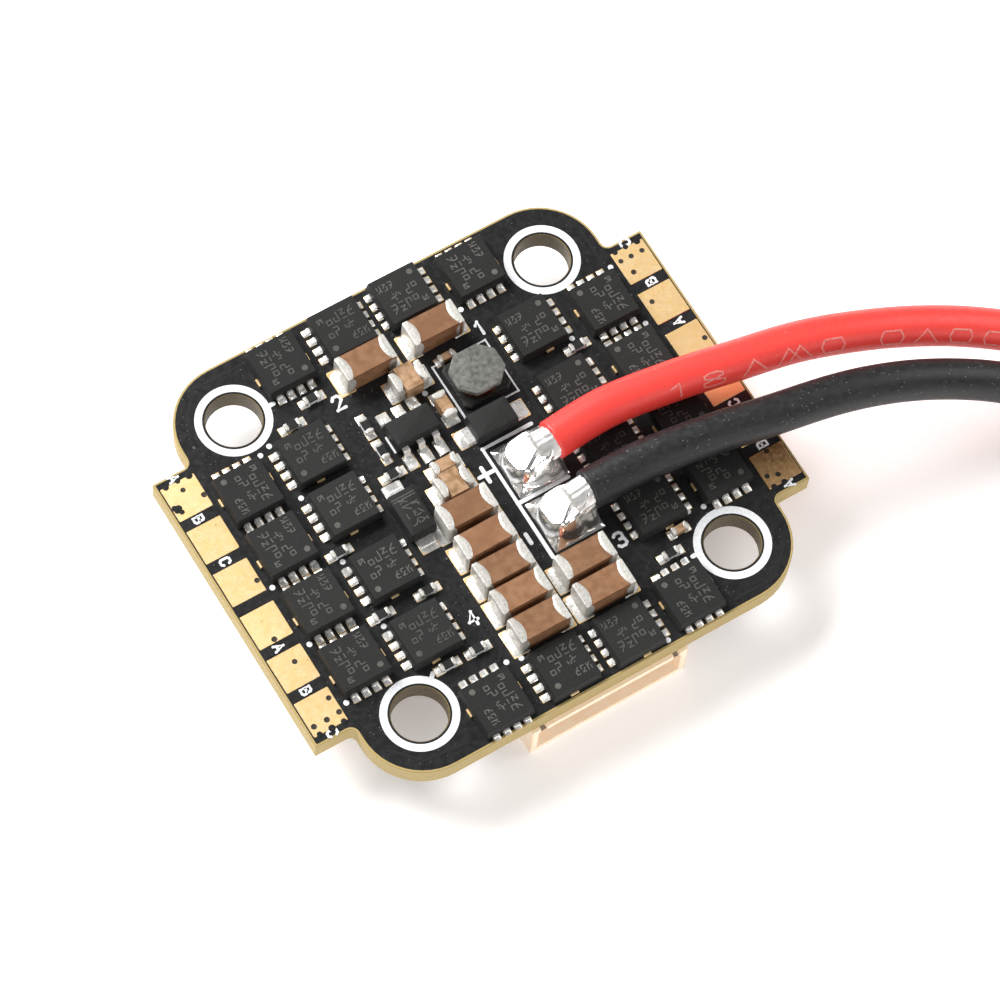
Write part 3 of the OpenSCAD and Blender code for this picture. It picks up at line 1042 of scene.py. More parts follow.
def pen_lines(name: str, lines: Sequence[Sequence[Point]], width: float, thickness: float, finish: Finish) -> Piece:
    """Draws lines with a round-nosed pen.

    Args:
        name: the new object's name.
        lines: the lines' points.
        width: the pen's width.
        thickness: how thick the ink lies.
        finish: what the strokes are dressed in.

    Returns:
        The new object.
    """
    points: list[list[float]] = []
    edges: list[tuple[int, int]] = []
    for number, line in enumerate(lines):
        base = len(points)
        lift = number % 5 * 0.0016
        points += [[p[0] * MM, p[1] * MM, (p[2] + lift) * MM] for p in line]
        edges += [(base + k, base + k + 1) for k in range(len(line) - 1)]
    mesh = bpy.data.meshes.new(name + "_lines")
    mesh.from_pydata(points, edges, [])
    sizes = {"Width": width * MM, "Thickness": thickness * MM}
    made = grow(name, link(name + "_lines", mesh), pen_tree(), Finish=material_of(finish), **sizes)
    made.data.shade_flat()
    return made


def joined(name: str, parts: Sequence[Piece]) -> Piece:
    """Joins dressed objects into one.

    Args:
        name: the new object's name.
        parts: the objects, removed afterwards.

    Returns:
        The new object.
    """
    shape = bmesh.new()
    materials: list[bpy.types.Material] = []
    for part in parts:
        base = len(materials)
        materials += list(part.data.materials)
        before = len(shape.faces)
        shape.from_mesh(part.data)
        shape.faces.ensure_lookup_table()
        for face in shape.faces[before:]:
            face.material_index += base
    mesh = bpy.data.meshes.new(name)
    shape.to_mesh(mesh)
    shape.free()
    for material in materials:
        mesh.materials.append(material)
    for part in parts:
        bpy.data.objects.remove(part)
    return link(name, mesh)


def keep(piece: Piece, finish: Finish, *nodes: str) -> Piece:
    """Hangs a finished piece under the body, in its main finish where it has none, and hides the solid model's nodes
    that it stands for.

    Args:
        piece: the piece.
        finish: its main finish, used where its mesh has none.
        nodes: the solid model's nodes that it stands for.

    Returns:
        The piece.
    """
    if not piece.data.materials:
        piece.data.materials.append(material_of(finish))
    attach(piece, BODY)
    if nodes:
        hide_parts(*nodes)
    LOG.info("%s: %d faces", piece.name, len(piece.data.polygons))
    return piece


def dress_node(node: str, finish: Finish) -> None:
    """Gives a solid model node, shown as it is, a finish of its own.

    Args:
        node: the node's name.
        finish: the finish.
    """
    target = bpy.data.objects[node]
    for part in target.material_slots:
        part.material = material_of(finish)
    LOG.info("%s: kept with %s", node, finish.name)


# ---- leads


def smooth_route(points: Sequence[Point], steps: int) -> list[Vector]:
    """Runs a smooth curve through way-points.

    Args:
        points: the way-points.
        steps: points made for each span.

    Returns:
        The curve's points.
    """
    given = [Vector(p) for p in points]
    made = []
    for i in range(len(given) - 1):
        a, b = given[max(i - 1, 0)], given[i]
        c, d = given[i + 1], given[min(i + 2, len(given) - 1)]
        for k in range(steps):
            t = k / steps
            made.append(
                0.5 * (2 * b + (c - a) * t + (2 * a - 5 * b + 4 * c - d) * t * t + (3 * b - a - 3 * c + d) * t**3)
            )
    return [*made, given[-1]]


@dataclass
class Tube:
    """A round tube along a path, which knows where its surface is."""

    path: list[Vector]
    radius: float
    sides: int = LEAD_SIDES
    lengths: list[float] = field(default_factory=list)

    def __post_init__(self) -> None:
        """Measures the path and sets a steady side direction along it."""
        self.lengths = [0.0]
        for a, b in zip(self.path, self.path[1:]):
            self.lengths.append(self.lengths[-1] + (b - a).length)
        self.ahead = [
            (self.path[min(i + 1, len(self.path) - 1)] - self.path[max(i - 1, 0)]).normalized()
            for i in range(len(self.path))
        ]

    def axes(self, index: int) -> Box:
        """Returns the side and up directions at a point of the path."""
        side = self.ahead[index].cross(Vector((0, 0, 1))).normalized()
        return side, side.cross(self.ahead[index]).normalized()

    def surface(self, along: float, angle: float, lift: float = 0.0) -> Vector:
        """Finds a point on the tube.

        Args:
            along: distance along the path.
            angle: angle round it in radians, 0 at the side and a quarter turn at the top.
            lift: height over the surface.

        Returns:
            The point.
        """
        i = next((k for k in range(1, len(self.lengths)) if self.lengths[k] >= along), len(self.lengths) - 1)
        share = (along - self.lengths[i - 1]) / max(1e-9, self.lengths[i] - self.lengths[i - 1])
        centre = self.path[i - 1].lerp(self.path[i], share)
        (sa, ua), (sb, ub) = self.axes(i - 1), self.axes(i)
        side, up = sa.lerp(sb, share).normalized(), ua.lerp(ub, share).normalized()
        return centre + (self.radius + lift) * (cos(angle) * side + sin(angle) * up)

    def rings(self, swell: Callable[[int, float], float]) -> list[list[Vector]]:
        """Makes the tube's rings.

        Args:
            swell: how much the radius grows, from the ring's number and the angle.

        Returns:
            The rings' points.
        """
        made = []
        for i, centre in enumerate(self.path):
            side, up = self.axes(i)
            ring = []
            for k in range(self.sides):
                a = tau * k / self.sides
                reach = self.radius + swell(i, a)
                ring.append(centre + reach * (cos(a) * side + sin(a) * up))
            made.append(ring)
        return made


@dataclass
class BatteryLead:
    """One silicone lead from its solder joint to the battery plug."""

    name: str
    node: str
    finish: Finish
    way_points: tuple[Place, ...]
    length: float
    seed: int
    radius: float = LEAD_RADIUS

    def build(self) -> Tube:
        """Returns:
            The tube it follows, for what is printed on it.
        """
        tube = Tube(smooth_route(self.way_points, 9), self.radius)
        offset = Vector((self.seed * 7.3, 0, 0))

        def swell(ring: int, angle: float) -> float:
            """Gives the soft unevenness of extruded silicone."""
            around = Vector((cos(angle), sin(angle), 0))
            return noise.noise(offset + around * 0.8 + Vector((0, 0, tube.lengths[ring] * 0.35))) * 0.012

        rings = tube.rings(swell)
        start, ahead = rings[0], tube.ahead[0]
        centre = tube.path[0]
        around = circle(3.0, LEAD_SIDES)
        torn = [p - ahead * 0.1 * noise.noise(offset + Vector((*around[k], 5))) for k, p in enumerate(start)]
        cut = ((0.62, 0.12), (0.64, 0.03), (0.965, 0.0), (1.0, 0.04), (1.0, 0.12))
        mouth = [[centre + (p - centre) * s + ahead * z for p in torn] for s, z in cut]
        shell = Shell()
        shell.loft([*mouth, *rings[1:]])
        lead = shell.object(self.name, smooth=60)
        keep(lead, self.finish, self.node)
        return tube


PLUG_PIECE = "battery_plug_shell"
SLEEVE_PIECE = "lead_shrink_sleeves"


@dataclass
class BatteryConnector:
    """The two-pole plug at the leads' far ends, with its shrunk sleeves."""

    radius: float = LEAD_RADIUS
    wall: float = 0.4
    steps: int = 26

    def shell(self) -> None:
        """Builds the plug's moulded shell with grip ribs."""
        body = softened("battery_connector_housing", "plug_core", 0.14)
        low, high = box_of("battery_connector_housing")
        grip = Shell()
        for side in (-1, 1):
            for k in range(5):
                y = high.y - 1.6 - k * 0.95
                x = low.x if side < 0 else high.x
                grip.box((x - 0.16, y - 0.24, low.z + 1.1), (x + 0.16, y + 0.24, high.z - 1.1))
        for k in range(2):
            y = high.y - 2.2 - k * 3.2
            grip.box((low.x + 2.6, y - 0.3, high.z - 0.12), (high.x - 2.6, y + 0.3, high.z + 0.12))
        parts = [dressed(part, YELLOW) for part in (body, grip.object("plug_ribs", bevel=0.06))]
        keep(joined(PLUG_PIECE, parts), YELLOW, "battery_connector_housing")
        dress_node("battery_connector_contacts", GOLD)

    def sleeves(self) -> None:
        """Builds the two sleeves, shrunk over the leads and the contacts' cups."""
        shell = Shell()
        for number, (low, high) in enumerate(solids_of("lead_sleeves")):
            cx, cz = (low.x + high.x) / 2, (low.z + high.z) / 2
            outer, tight = (high.x - low.x) / 2, self.radius + self.wall * 0.55
            rings = []
            for i in range(self.steps + 1):
                t = i / self.steps
                y = high.y + (low.y - high.y) * t
                reach = tight + (outer - tight) * _ease((t - 0.3) / 0.22)
                ring = []
                for u, v in circle(1.0, LEAD_SIDES):
                    r = min(outer, reach + noise.noise(Vector((number * 9 + u * 1.6, v * 1.6, y * 1.7))) * 0.05)
                    ring.append((cx + r * u, y, cz + r * v))
                rings.append(ring)
            inner = [
                [(cx + (x - cx) * share, y, cz + (z - cz) * share) for x, y, z in rings[end]]
                for end, share in ((0, 0.88), (-1, 0.84))
            ]
            shell.loft([inner[0], *rings, inner[1], inner[0]], close=False)
        keep(shell.object(SLEEVE_PIECE, smooth=50), SLEEVE, "lead_sleeves")

    def build(self) -> None:
        """Builds the plug and its sleeves."""
        self.shell()
        self.sleeves()


def _ease(t: float) -> float:
    """Returns a smooth step of t between 0 and 1."""
    t = max(0.0, min(1.0, t))
    return t * t * (3 - 2 * t)


# ---- lettering


GLYPHS: dict[str, list[Loop]] = {
    "A": [[(0, 0), (0.32, 1), (0.64, 0)], [(0.12, 0.34), (0.52, 0.34)]],
    "B": [
        [(0.4, 0.53), (0.56, 0.66), (0.56, 0.88), (0.42, 1), (0, 1), (0, 0), (0.44, 0), (0.62, 0.13), (0.62, 0.4),
         (0.44, 0.53), (0, 0.53)]
    ],
    "C": [[(0.62, 0.8), (0.48, 1), (0.14, 1), (0, 0.84), (0, 0.16), (0.14, 0), (0.48, 0), (0.62, 0.2)]],
    "1": [[(0.1, 0.78), (0.34, 1), (0.34, 0)]],
    "2": [[(0, 0.8), (0.14, 1), (0.46, 1), (0.6, 0.84), (0.6, 0.62), (0, 0), (0.62, 0)]],
    "3": [
        [(0, 0.86), (0.14, 1), (0.46, 1), (0.6, 0.86), (0.58, 0.62), (0.3, 0.53), (0.6, 0.42), (0.62, 0.14), (0.46, 0),
         (0.14, 0), (0, 0.14)]
    ],
    "4": [[(0.46, 0), (0.46, 1), (0, 0.34), (0.64, 0.34)]],
    "8": [
        [(0.3, 0.53), (0.06, 0.68), (0.06, 0.86), (0.2, 1), (0.42, 1), (0.56, 0.86), (0.56, 0.68), (0.3, 0.53),
         (0.02, 0.36), (0.02, 0.14), (0.16, 0), (0.46, 0), (0.6, 0.14), (0.6, 0.36), (0.3, 0.53)]
    ],
}


def lettered(character: str, at: Point, height: float, turn: float = 0.0) -> list[list[Place]]:
    """Lays out a character as pen lines, centred.

    Args:
        character: the character.
        at: its middle, with its height over the origin.
        height: how tall it is.
        turn: turn about Z in degrees.

    Returns:
        The lines.
    """
    spin = Matrix.Rotation(radians(turn), 2)
    lines = []
    for stroke in GLYPHS[character]:
        flat = [spin @ Vector(((x - 0.32) * height, (y - 0.5) * height)) for x, y in stroke]
        lines.append([(at[0] + p.x, at[1] + p.y, at[2]) for p in flat])
    return lines


# ---- board


@dataclass
class CircuitBoard:
    """The laminate with its solder mask, hole walls darkened with painted shade, and tented vias."""

    body: float = 26.9
    corner: float = 3.7
    wing: float = 17.7
    fillet: float = 0.4
    pitch: float = 20.0
    hole: float = 1.6
    mask_margin: float = 0.13
    mask: float = 0.025
    corner_vias: tuple[Flat, ...] = (
        (-12.3, 11.35), (-11.75, 12.1), (-11.0, 12.6), (-10.1, 12.85), (-8.4, 12.8), (-7.3, 12.85), (8.1, 12.85),
        (9.3, 12.9), (10.4, 12.8), (11.4, 12.45), (12.2, 11.8), (12.7, 10.9), (12.85, 9.6), (-12.75, 10.3),
        (-12.6, -10.9), (-11.9, -11.9), (-11.0, -12.6), (12.2, -11.7), (12.75, -10.6), (11.2, -12.4),
    )
    inner_vias: tuple[Flat, ...] = (
        (-5.3, 7.1), (-5.2, 3.4), (-5.4, -1.6), (-4.3, -2.9), (-4.2, -5.6), (-4.4, -7.6), (0.3, -7.3), (0.25, -9.2),
        (4.6, -8.1), (5.2, -3.0), (5.3, 0.9), (5.1, 4.2), (4.4, 7.0), (0.2, 10.2), (-9.3, 2.0), (-9.4, -6.2),
        (9.3, 0.0), (9.4, 8.2), (0.15, 8.2), (-3.6, -3.7), (-13.2, 7.9), (-13.1, -4.9), (13.1, 0.1), (12.9, -4.1),
    )
    tracks: tuple[tuple[Flat, ...], ...] = (
        ((-12.3, 11.35), (-10.9, 12.75), (-7.9, 12.75)), ((12.2, 11.8), (12.85, 11.1), (12.85, 8.4)),
        ((-12.6, -10.9), (-11.2, -12.4), (-8.6, -12.7)), ((12.2, -11.7), (10.9, -12.9), (8.4, -12.9)),
        ((-5.3, 7.1), (-5.3, 5.2), (-4.9, 4.8)), ((-5.4, -1.6), (-5.4, -3.4), (-4.6, -4.2), (-4.6, -8.6)),
        ((-4.2, -5.6), (-4.2, -8.9), (-4.7, -9.5), (-7.6, -9.5)), ((-9.3, 2.0), (-9.6, 1.7), (-9.6, -5.9)),
        ((-8.6, 8.3), (-6.4, 8.3), (-5.7, 9.0), (-4.7, 9.0)), ((0.3, -6.0), (0.3, -10.0)),
        ((5.2, 7.9), (5.2, 4.5), (5.0, 4.2), (5.0, 1.2)), ((5.0, -6.6), (5.2, -8.4), (6.0, -9.2), (8.0, -9.2)),
        ((9.3, 0.0), (9.3, 7.6)), ((9.5, -8.0), (9.5, -4.4)), ((0.1, 13.0), (4.2, 13.0)), ((-3.6, -3.7), (-3.9, -2.4)),
        ((-13.1, 3.8), (-13.1, 7.2)), ((4.9, -10.2), (4.2, -9.6), (4.2, -8.5)),
    )

    def outline(self, inset: float) -> Loop:
        """Draws the board's edge.

        Args:
            inset: how far inside the edge the loop runs.

        Returns:
            The loop, anticlockwise.
        """
        half, reach = self.body / 2 - inset, box_of("circuit_board")[1].x - inset
        wing, r, f = self.wing / 2 - inset, self.corner - inset, self.fillet + inset
        quarter: Loop = []
        for k in range(5):
            a = pi * 1.5 - pi / 2 * k / 4
            quarter.append((half + f + f * cos(a), wing + f + f * sin(a)))
        quarter = [(reach, wing), *[(max(half, min(x, reach)), y) for x, y in quarter]]
        for k in range(13):
            a = pi / 2 * k / 12
            quarter.append((half - r + r * cos(a), half - r + r * sin(a)))
        back = quarter[::-1]
        return [*quarter, *((-x, y) for x, y in back), *((-x, -y) for x, y in quarter), *((x, -y) for x, y in back)]

    def holes(self, radius: float) -> list[Loop]:
        """Returns the four mounting holes' edges at a radius."""
        h = self.pitch / 2
        return [circle(radius, RING_SIDES, (sx * h, sy * h)) for sx in (-1, 1) for sy in (-1, 1)]

    def build(self) -> None:
        """Builds the laminate, both masks and the vias."""
        low, high = box_of("circuit_board")
        core = Shell()
        core.plate(self.outline(0.0), self.holes(self.hole), low.z, high.z, 0.035)
        keep(core.object("board_laminate", smooth=30), LAMINATE, "circuit_board")
        for name, bottom, top in (
            ("solder_mask_top", high.z - 0.01, high.z + self.mask),
            ("solder_mask_bottom", low.z - self.mask, low.z + 0.01),
        ):
            layer = Shell()
            layer.plate(self.outline(self.mask_margin), self.holes(self.hole + 0.03), bottom, top, 0.01)
            keep(layer.object(name, smooth=30), MASK)
        # Thin sleeves inside the mounting holes in the dark laminate colour: painted shade on the hole walls.
        walls = Shell()
        for loop in self.holes(self.hole + 0.004):
            middle = [sum(p[i] for p in loop) / len(loop) for i in (0, 1)]
            walls.plate(loop, [circle(self.hole - 0.014, RING_SIDES, middle)], low.z + 0.01, high.z - 0.01)
        keep(upright(walls.object("hole_walls", smooth=30)), HOLE_WALL_SHADE)
        via = Shell()
        via.loft(stacked(lambda r: circle(r, 14), ((0.17, -0.005), (0.16, 0.012), (0.12, 0.014), (0.07, 0.001))))
        spots = [Spot((x, y, high.z + self.mask)) for x, y in (*self.corner_vias, *self.inner_vias)]
        keep(set_copies("tented_vias", spots, via.object("via"), MASK, 11, (0.1, 0, 0.3)), MASK)
        routes = [[(x, y, high.z + self.mask) for x, y in route] for route in self.tracks]
        keep(pen_lines("masked_tracks", routes, 0.2, 0.022, TRACK), TRACK)


@dataclass
class Silkscreen:
    """White legend on the top: hole rings, numbers, frames and pin dots."""

    lift: float = 0.03
    hole_inner: float = 1.75
    hole_outer: float = 2.18
    hole_place: float = 10.0
    phase_rows: tuple[float, ...] = (8.6, 5.8, 2.9, -2.9, -5.8, -8.6)
    nubs: tuple[tuple[Flat, ...], ...] = (
        ((-7.85, 9.8), (-7.6, 9.8)), ((7.85, -9.6), (7.65, -9.6)), ((-8.35, -8.5), (-8.2, -8.35)),
    )
    thin_frames: tuple[tuple[Flat, ...], ...] = (
        ((1.17, 3.72), (4.61, 3.72), (4.61, 7.32), (1.17, 7.32), (1.17, 3.72)), ((-3.25, 3.9), (-3.25, 4.9)),
    )
    thick_frames: tuple[tuple[Flat, ...], ...] = (
        ((4.15, 1.65), (1.0, 1.65), (1.0, -5.8)), ((1.0, -2.12), (4.25, -2.12)), ((0.95, 0.25), (-0.05, 0.25)),
        ((0.35, 0.72), (0.35, -0.22)), ((0.4, -3.9), (0.4, -4.5)),
    )
    dots: tuple[Flat, ...] = (
        (-9.8, 7.42), (-13.17, 0.3), (-13.1, -3.57), (-13.1, -7.48), (-9.1, 7.67), (-9.15, 4.1), (-9.1, -0.3),
        (-9.1, -4.68), (-4.43, -9.8), (-3.6, -10.0), (4.4, 9.6), (13.1, 7.68), (12.95, 3.72), (9.77, -7.38),
        (8.87, 4.97), (8.87, -7.2), (3.85, -13.1), (0.0, 6.15),
    )

    def build(self) -> None:
        """Draws the whole legend."""
        z = box_of("circuit_board")[1].z + self.lift
        middle = (self.hole_inner + self.hole_outer) / 2
        rings = [
            (*circle(middle, RING_SIDES, (x, y)), (x + middle, y))
            for x in (-self.hole_place, self.hole_place)
            for y in (-self.hole_place, self.hole_place)
        ]

        def draw(name: str, lines: Sequence[Sequence[Flat]], width: float) -> Piece:
            """Draws flat lines on the board in white ink."""
            return pen_lines(name, [[(*p, z) for p in line] for line in lines], width, INK_THICKNESS, INK)

        parts = [
            draw("hole_rings", rings, self.hole_outer - self.hole_inner),
            draw("ring_nubs", self.nubs, 0.26),
        ]
        figures = []
        for number, x, y in (("2", -4.45, 8.05), ("1", 4.75, 8.1), ("4", -4.7, -6.7), ("3", 4.75, -6.75)):
            figures += lettered(number, (x, y, z), 0.82)
        parts.append(pen_lines("channel_numbers", figures, 0.19, INK_THICKNESS, INK))
        phases = []
        for side, order in ((-1, "ABCABC"), (1, "CBACBA")):
            for letter, y in zip(order, self.phase_rows):
                phases += lettered(letter, (side * 14.62, y, z), 0.55, 90 * side)
        parts.append(pen_lines("phase_letters", phases, 0.15, INK_THICKNESS, INK))
        parts.append(draw("part_frames", self.thin_frames, 0.14))
        parts.append(draw("battery_frame", self.thick_frames, 0.24))
        parts.append(draw("pin_dots", [[dot] for dot in self.dots], 0.33))
        keep(joined("white_legend", parts), INK)


@dataclass
class MotorPads:
    """Gold pads on the wings, top and bottom, with near-black discs of painted shade over their plated holes."""

    corner: float = 0.06
    holes: tuple[Flat, ...] = (
        (-14.5, 7.74), (-13.64, 6.93), (-13.68, 1.08), (-14.6, -2.37), (-14.3, -4.04), (-13.78, -6.77),
        (-15.3, -7.8), (-14.5, -7.8), (-13.7, -7.74), (13.8, 7.7), (14.48, 7.7), (15.2, 7.7), (14.07, 6.77),
        (13.98, 4.68), (15.36, 1.31), (14.6, -6.3), (13.8, -7.6), (14.4, -7.8),
    )
    notches: tuple[Flat, ...] = (
        (-15.25, 8.33), (-14.5, 8.35), (-13.8, 8.33), (15.25, 8.33), (14.5, 8.35), (13.8, 8.33),
        (-15.25, -8.33), (-14.5, -8.35), (-13.75, -8.33), (14.45, -8.35), (13.8, -8.33), (-15.45, 7.0),
        (-15.4, 6.8), (-15.25, 6.9), (-15.2, 6.62),
    )

    def build(self) -> None:
        """Builds the pads, and near-black discs of painted shade for their holes."""
        solids = solids_of("motor_pads")
        low, high = solids[0]
        side, across, thick = high.x - low.x, high.y - low.y, high.z - low.z
        pad = Shell()
        steps = ((0, 0), (0, thick - 0.02), (0.04, thick))
        pad.loft(stacked(lambda inset: rounded(side - inset, across - inset, self.corner), steps))
        spots = [Spot(foot(box)) for box in solids]
        for spot, (a, b) in zip(spots, solids):
            if a.z < 0:
                spot.size = (1.0, 1.0, -1.0)
                spot.at = (spot.at[0], spot.at[1], b.z)
        # The top pad at +X, far toward -Y, gets the darker gold: painted shadow from the leads.
        dull = next(k for k, (a, b) in enumerate(solids) if a.x > 0 and b.y < -6 and a.z > 0)
        shadowed_pad_spot = spots.pop(dull)
        plate = pad.object("dull", smooth=25)
        keep(set_copies("dull_motor_pad", [shadowed_pad_spot], plate, GOLD_PAINTED_SHADOW, 4, (0, 0, 0)), GOLD_PAINTED_SHADOW, "motor_pads")
        pads = set_copies("motor_pads_plated", spots, pad.object("pad", smooth=25), GOLD, 5, (0.0, 0.4, 0.05))
        keep(upright(pads), GOLD, "motor_pads")
        top = max(b.z for a, b in solids)
        bottom = min(a.z for a, b in solids)
        # Near-black discs over the pads' holes, top and bottom: painted shade standing in for the inside of each hole.
        bore = Shell()
        bore.loft(stacked(lambda r: circle(r, 16), ((0.16, -0.01), (0.155, 0.006), (0.13, 0.007), (0.11, 0.002))))
        spots = [Spot((x, y, z)) for x, y in self.holes for z in (top, bottom)]
        keep(set_copies("pad_holes", spots, bore.object("bore"), HOLE_SHADOW, 6, (0.08, 0, 0.2)), HOLE_SHADOW)
        bite = Shell()
        bite.loft(stacked(lambda k: circle(0.16 + 0.03 * sin(k * 2.3), 12), enumerate((-0.05, 0.004, 0.008))))
        spots = [Spot((x, y, top), 37 * k) for k, (x, y) in enumerate(self.notches)]
        keep(set_copies("mask_bites", spots, bite.object("bite"), MASK, 7, (0.15, 40, 0.1)), MASK)


def upright(piece: Piece) -> Piece:
    """Turns every closed shell of a piece so that its faces point outwards.

    Args:
        piece: the piece.

    Returns:
        The piece.
    """
    shape = bmesh.new()
    shape.from_mesh(piece.data)
    bmesh.ops.recalc_face_normals(shape, faces=shape.faces)
    shape.to_mesh(piece.data)
    shape.free()
    return piece


# ---- power transistors


class Side(Enum):
    """The way a lead or a chip's end points, as its turn from +X in degrees."""

    EAST = 0
    NORTH = 90
    WEST = 180
    SOUTH = -90

    @classmethod
    def towards(cls, dx: float, dy: float) -> "Side":
        """Finds the side nearest to a step's way.

        Args:
            dx: the step along X.
            dy: the step along Y.

        Returns:
            The side.
        """
        if abs(dx) > abs(dy):
            return cls.EAST if dx > 0 else cls.WEST
        return cls.NORTH if dy > 0 else cls.SOUTH

    @property
    def along_x(self) -> bool:
        """Tells whether the side lies along X."""
        return self in (Side.EAST, Side.WEST)


@dataclass
class PowerTransistors:
    """The 24 power transistors: bodies, laser marks and leads."""

    turns: tuple[int, ...] = (
        -90, 90, 90, 90, 0, 0, 0, 0, 90, 0, 180, 90, 180, 180, 180, 180, -90, -90, 90, 90, -90, 0, 180, -90,
    )
    widest_tip: float = 0.4

    def places(self) -> list[Spot]:
        """Returns where each body stands, from the solid model."""
        return [Spot(foot(box_of(f"mosfet_{k + 1}")), turn) for k, turn in enumerate(self.turns)]

    def bodies(self) -> None:
        """Builds the drafted bodies."""
        low, high = box_of("mosfet_1")
        side, height = high.x - low.x, high.z - low.z
        body = Shell()
        steps = (
            (1.0, 0.0, 0.06), (0.995, 0.22, 0.06), (0.985, 0.235, 0.06), (0.945, height - 0.05, 0.05),
            (0.925, height, 0.08), (0.912, height, 0.08), (0.86, height, 0.08),
        )
        body.loft([[(x, y, z) for x, y in rounded(side * k, side * k, r, 3)] for k, z, r in steps])
        shape = body.object("transistor", smooth=34)
        nodes = [f"mosfet_{k + 1}" for k in range(len(self.turns))]
        keep(set_copies("transistor_bodies", self.places(), shape, MOULD, 21, (0, 0.3, 0.12)), MOULD, *nodes)

    def marks(self) -> None:
        """Builds plain laser strokes in three rows, with a pin-one dot."""
        low, high = box_of("mosfet_1")
        top = high.z - low.z + MARK_LIFT
        rng = random.Random(7)
        grid = [(0, 0), (0.5, 0), (0, 0.5), (0.5, 0.5), (0, 1), (0.5, 1)]
        strokes = [(0, 1), (0, 2), (2, 4), (4, 5), (1, 3), (3, 5), (2, 3), (0, 3), (2, 5)]
        rows = ((5, -1.1, 0.42, 0.56, 0.46), (2, -0.92, -0.34, 0.52, 0.44), (3, 0.28, -0.98, 0.4, 0.36))
        lines = []
        for count, x0, y0, height, pitch in rows:
            for x in (x0 + k * pitch for k in range(count)):
                for pair in rng.sample(strokes, 4):
                    ends = (grid[i] for i in pair)
                    lines.append([(x + u * height * 0.95, y0 + v * height, top) for u, v in ends])
        for k in range(9):
            x, y = 0.1 + rng.random() * 0.75, -0.3 + rng.random() * 0.5
            lines.append([(x, y, top), (x + 0.16 * rng.random(), y + 0.05, top)])
        print_lines = pen_lines("strokes", lines, 0.062, MARK_THICKNESS, MARKING)
        dot = pen_lines("dot", [[(-0.98, -0.98, top)]], 0.36, MARK_THICKNESS, MARKING)
        shape = joined("mark", [print_lines, dot])
        keep(set_copies("transistor_marks", self.places(), shape, MARKING, 22, (0.0, 1.0, 0.2)), MARKING)

    def leads(self) -> None:
        """Builds the leads' tinned tips and the gold ends of their tie bars."""
        bodies = self.places()
        tips: list[Spot] = []
        ties: list[Spot] = []
        for low, high in solids_of("mosfet_leads"):
            x, y = centre_of((low, high)).xy
            owner = min(bodies, key=lambda s: dist((x, y), s.at[:2]))
            side = Side.towards(x - owner.at[0], y - owner.at[1])
            wide = max(high.x - low.x, high.y - low.y) > self.widest_tip
            (ties if wide else tips).append(Spot((x, y, low.z), side.value))
        tip = Shell()
        tip.strip([(-0.12, 0.0), (0.07, 0.0), (0.075, 0.03), (0.075, 0.16), (0.05, 0.2), (-0.12, 0.2)], 0.33)
        end = tip.object("tip", bevel=0.015, segments=1)
        keep(set_copies("transistor_leads", tips, end, TIN, 31, (0.03, 1.0, 0.1)), TIN, "mosfet_leads")
        tie = Shell()
        tie.box((-0.1, -0.24, 0.05), (0.05, 0.24, 0.2))
        end = tie.object("tie", bevel=0.015, segments=1)
        keep(set_copies("tie_bar_ends", ties, end, GOLD, 32, (0.05, 1.0, 0.1)), GOLD)

    def build(self) -> None:
        """Builds every part of the transistors."""
        self.bodies()
        self.marks()
        self.leads()


@dataclass
class SolderLands:
    """Gold lands under every chip, with solder pulled up on them."""

    steps: int = 6
    height: float = 0.15

    def wetting(self) -> Piece:
        """Makes a solder fillet of unit size, high at -X and thin at +X.

        Returns:
            The shape.
        """
        rings = []
        for i in range(self.steps + 1):
            u = i / self.steps
            rise = self.height * (0.12 + 0.79 * (1 - u) ** 1.5 + 0.09 * sin(pi * u))
            ring = []
            for k in range(self.steps + 1):
                v = k / self.steps * 2 - 1
                crown = sqrt(1 - abs(v) ** 3) * min(1.0, (1 - u) * 9)
                ring.append((u - 0.5, v * 0.5 * (1 - 0.06 * u), rise * crown))
            rings.append(ring + [(u - 0.5, 0.3, -0.01), (u - 0.5, -0.3, -0.01)])
        shell = Shell()
        shell.loft(rings)
        return upright(shell.object("wetting", smooth=60))

    def build(self) -> None:
        """Builds the lands and the solder."""
        solids = solids_of("solder_lands")
        plate = Shell()
        plate.box((-0.5, -0.5, 0), (0.5, 0.5, 1))
        spots = [Spot(foot(box), 0, tuple(box[1] - box[0])) for box in solids]
        lands = set_copies("gold_lands", spots, plate.object("land", bevel=0.04, segments=1), GOLD, 41, (0.02, 0, 0.08))
        keep(lands, GOLD, "solder_lands")
        owners = self.owners()
        wet = []
        for low, high in solids:
            middle = centre_of((low, high))
            owner = min(owners, key=lambda p: (middle.xy - p.xy).length)
            side = Side.towards(middle.x - owner.x, middle.y - owner.y)
            size = high - low
            long, wide = (size.x, size.y) if side.along_x else (size.y, size.x)
            tall = 0.9 if max(long, wide) < 0.7 else 1.1
            turn = radians(side.value)
            at = (middle.x - 0.02 * cos(turn), middle.y - 0.02 * sin(turn), high.z - 0.004)
            wet.append(Spot(at, side.value, (long + 0.02, wide - 0.01, tall)))
        shape = self.wetting()
        keep(set_copies("land_solder", wet, shape, TIN, 42, (0.04, 2.0, 0.12)), TIN)

    @staticmethod
    def owners() -> list[Vector]:
        """Returns the middles of all the parts that stand on lands."""
        nodes = [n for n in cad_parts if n.startswith(("mosfet_", "bulk_capacitor_")) and n[-1].isdigit()]
        boxes = [box_of(n) for n in (*nodes, "protection_diode", "catch_diode", "inductor_core", "regulator_chip")]
        return [centre_of(b) for b in (*boxes, *solids_of("gate_resistors"), *solids_of("regulator_capacitors"))]


# ---- chips


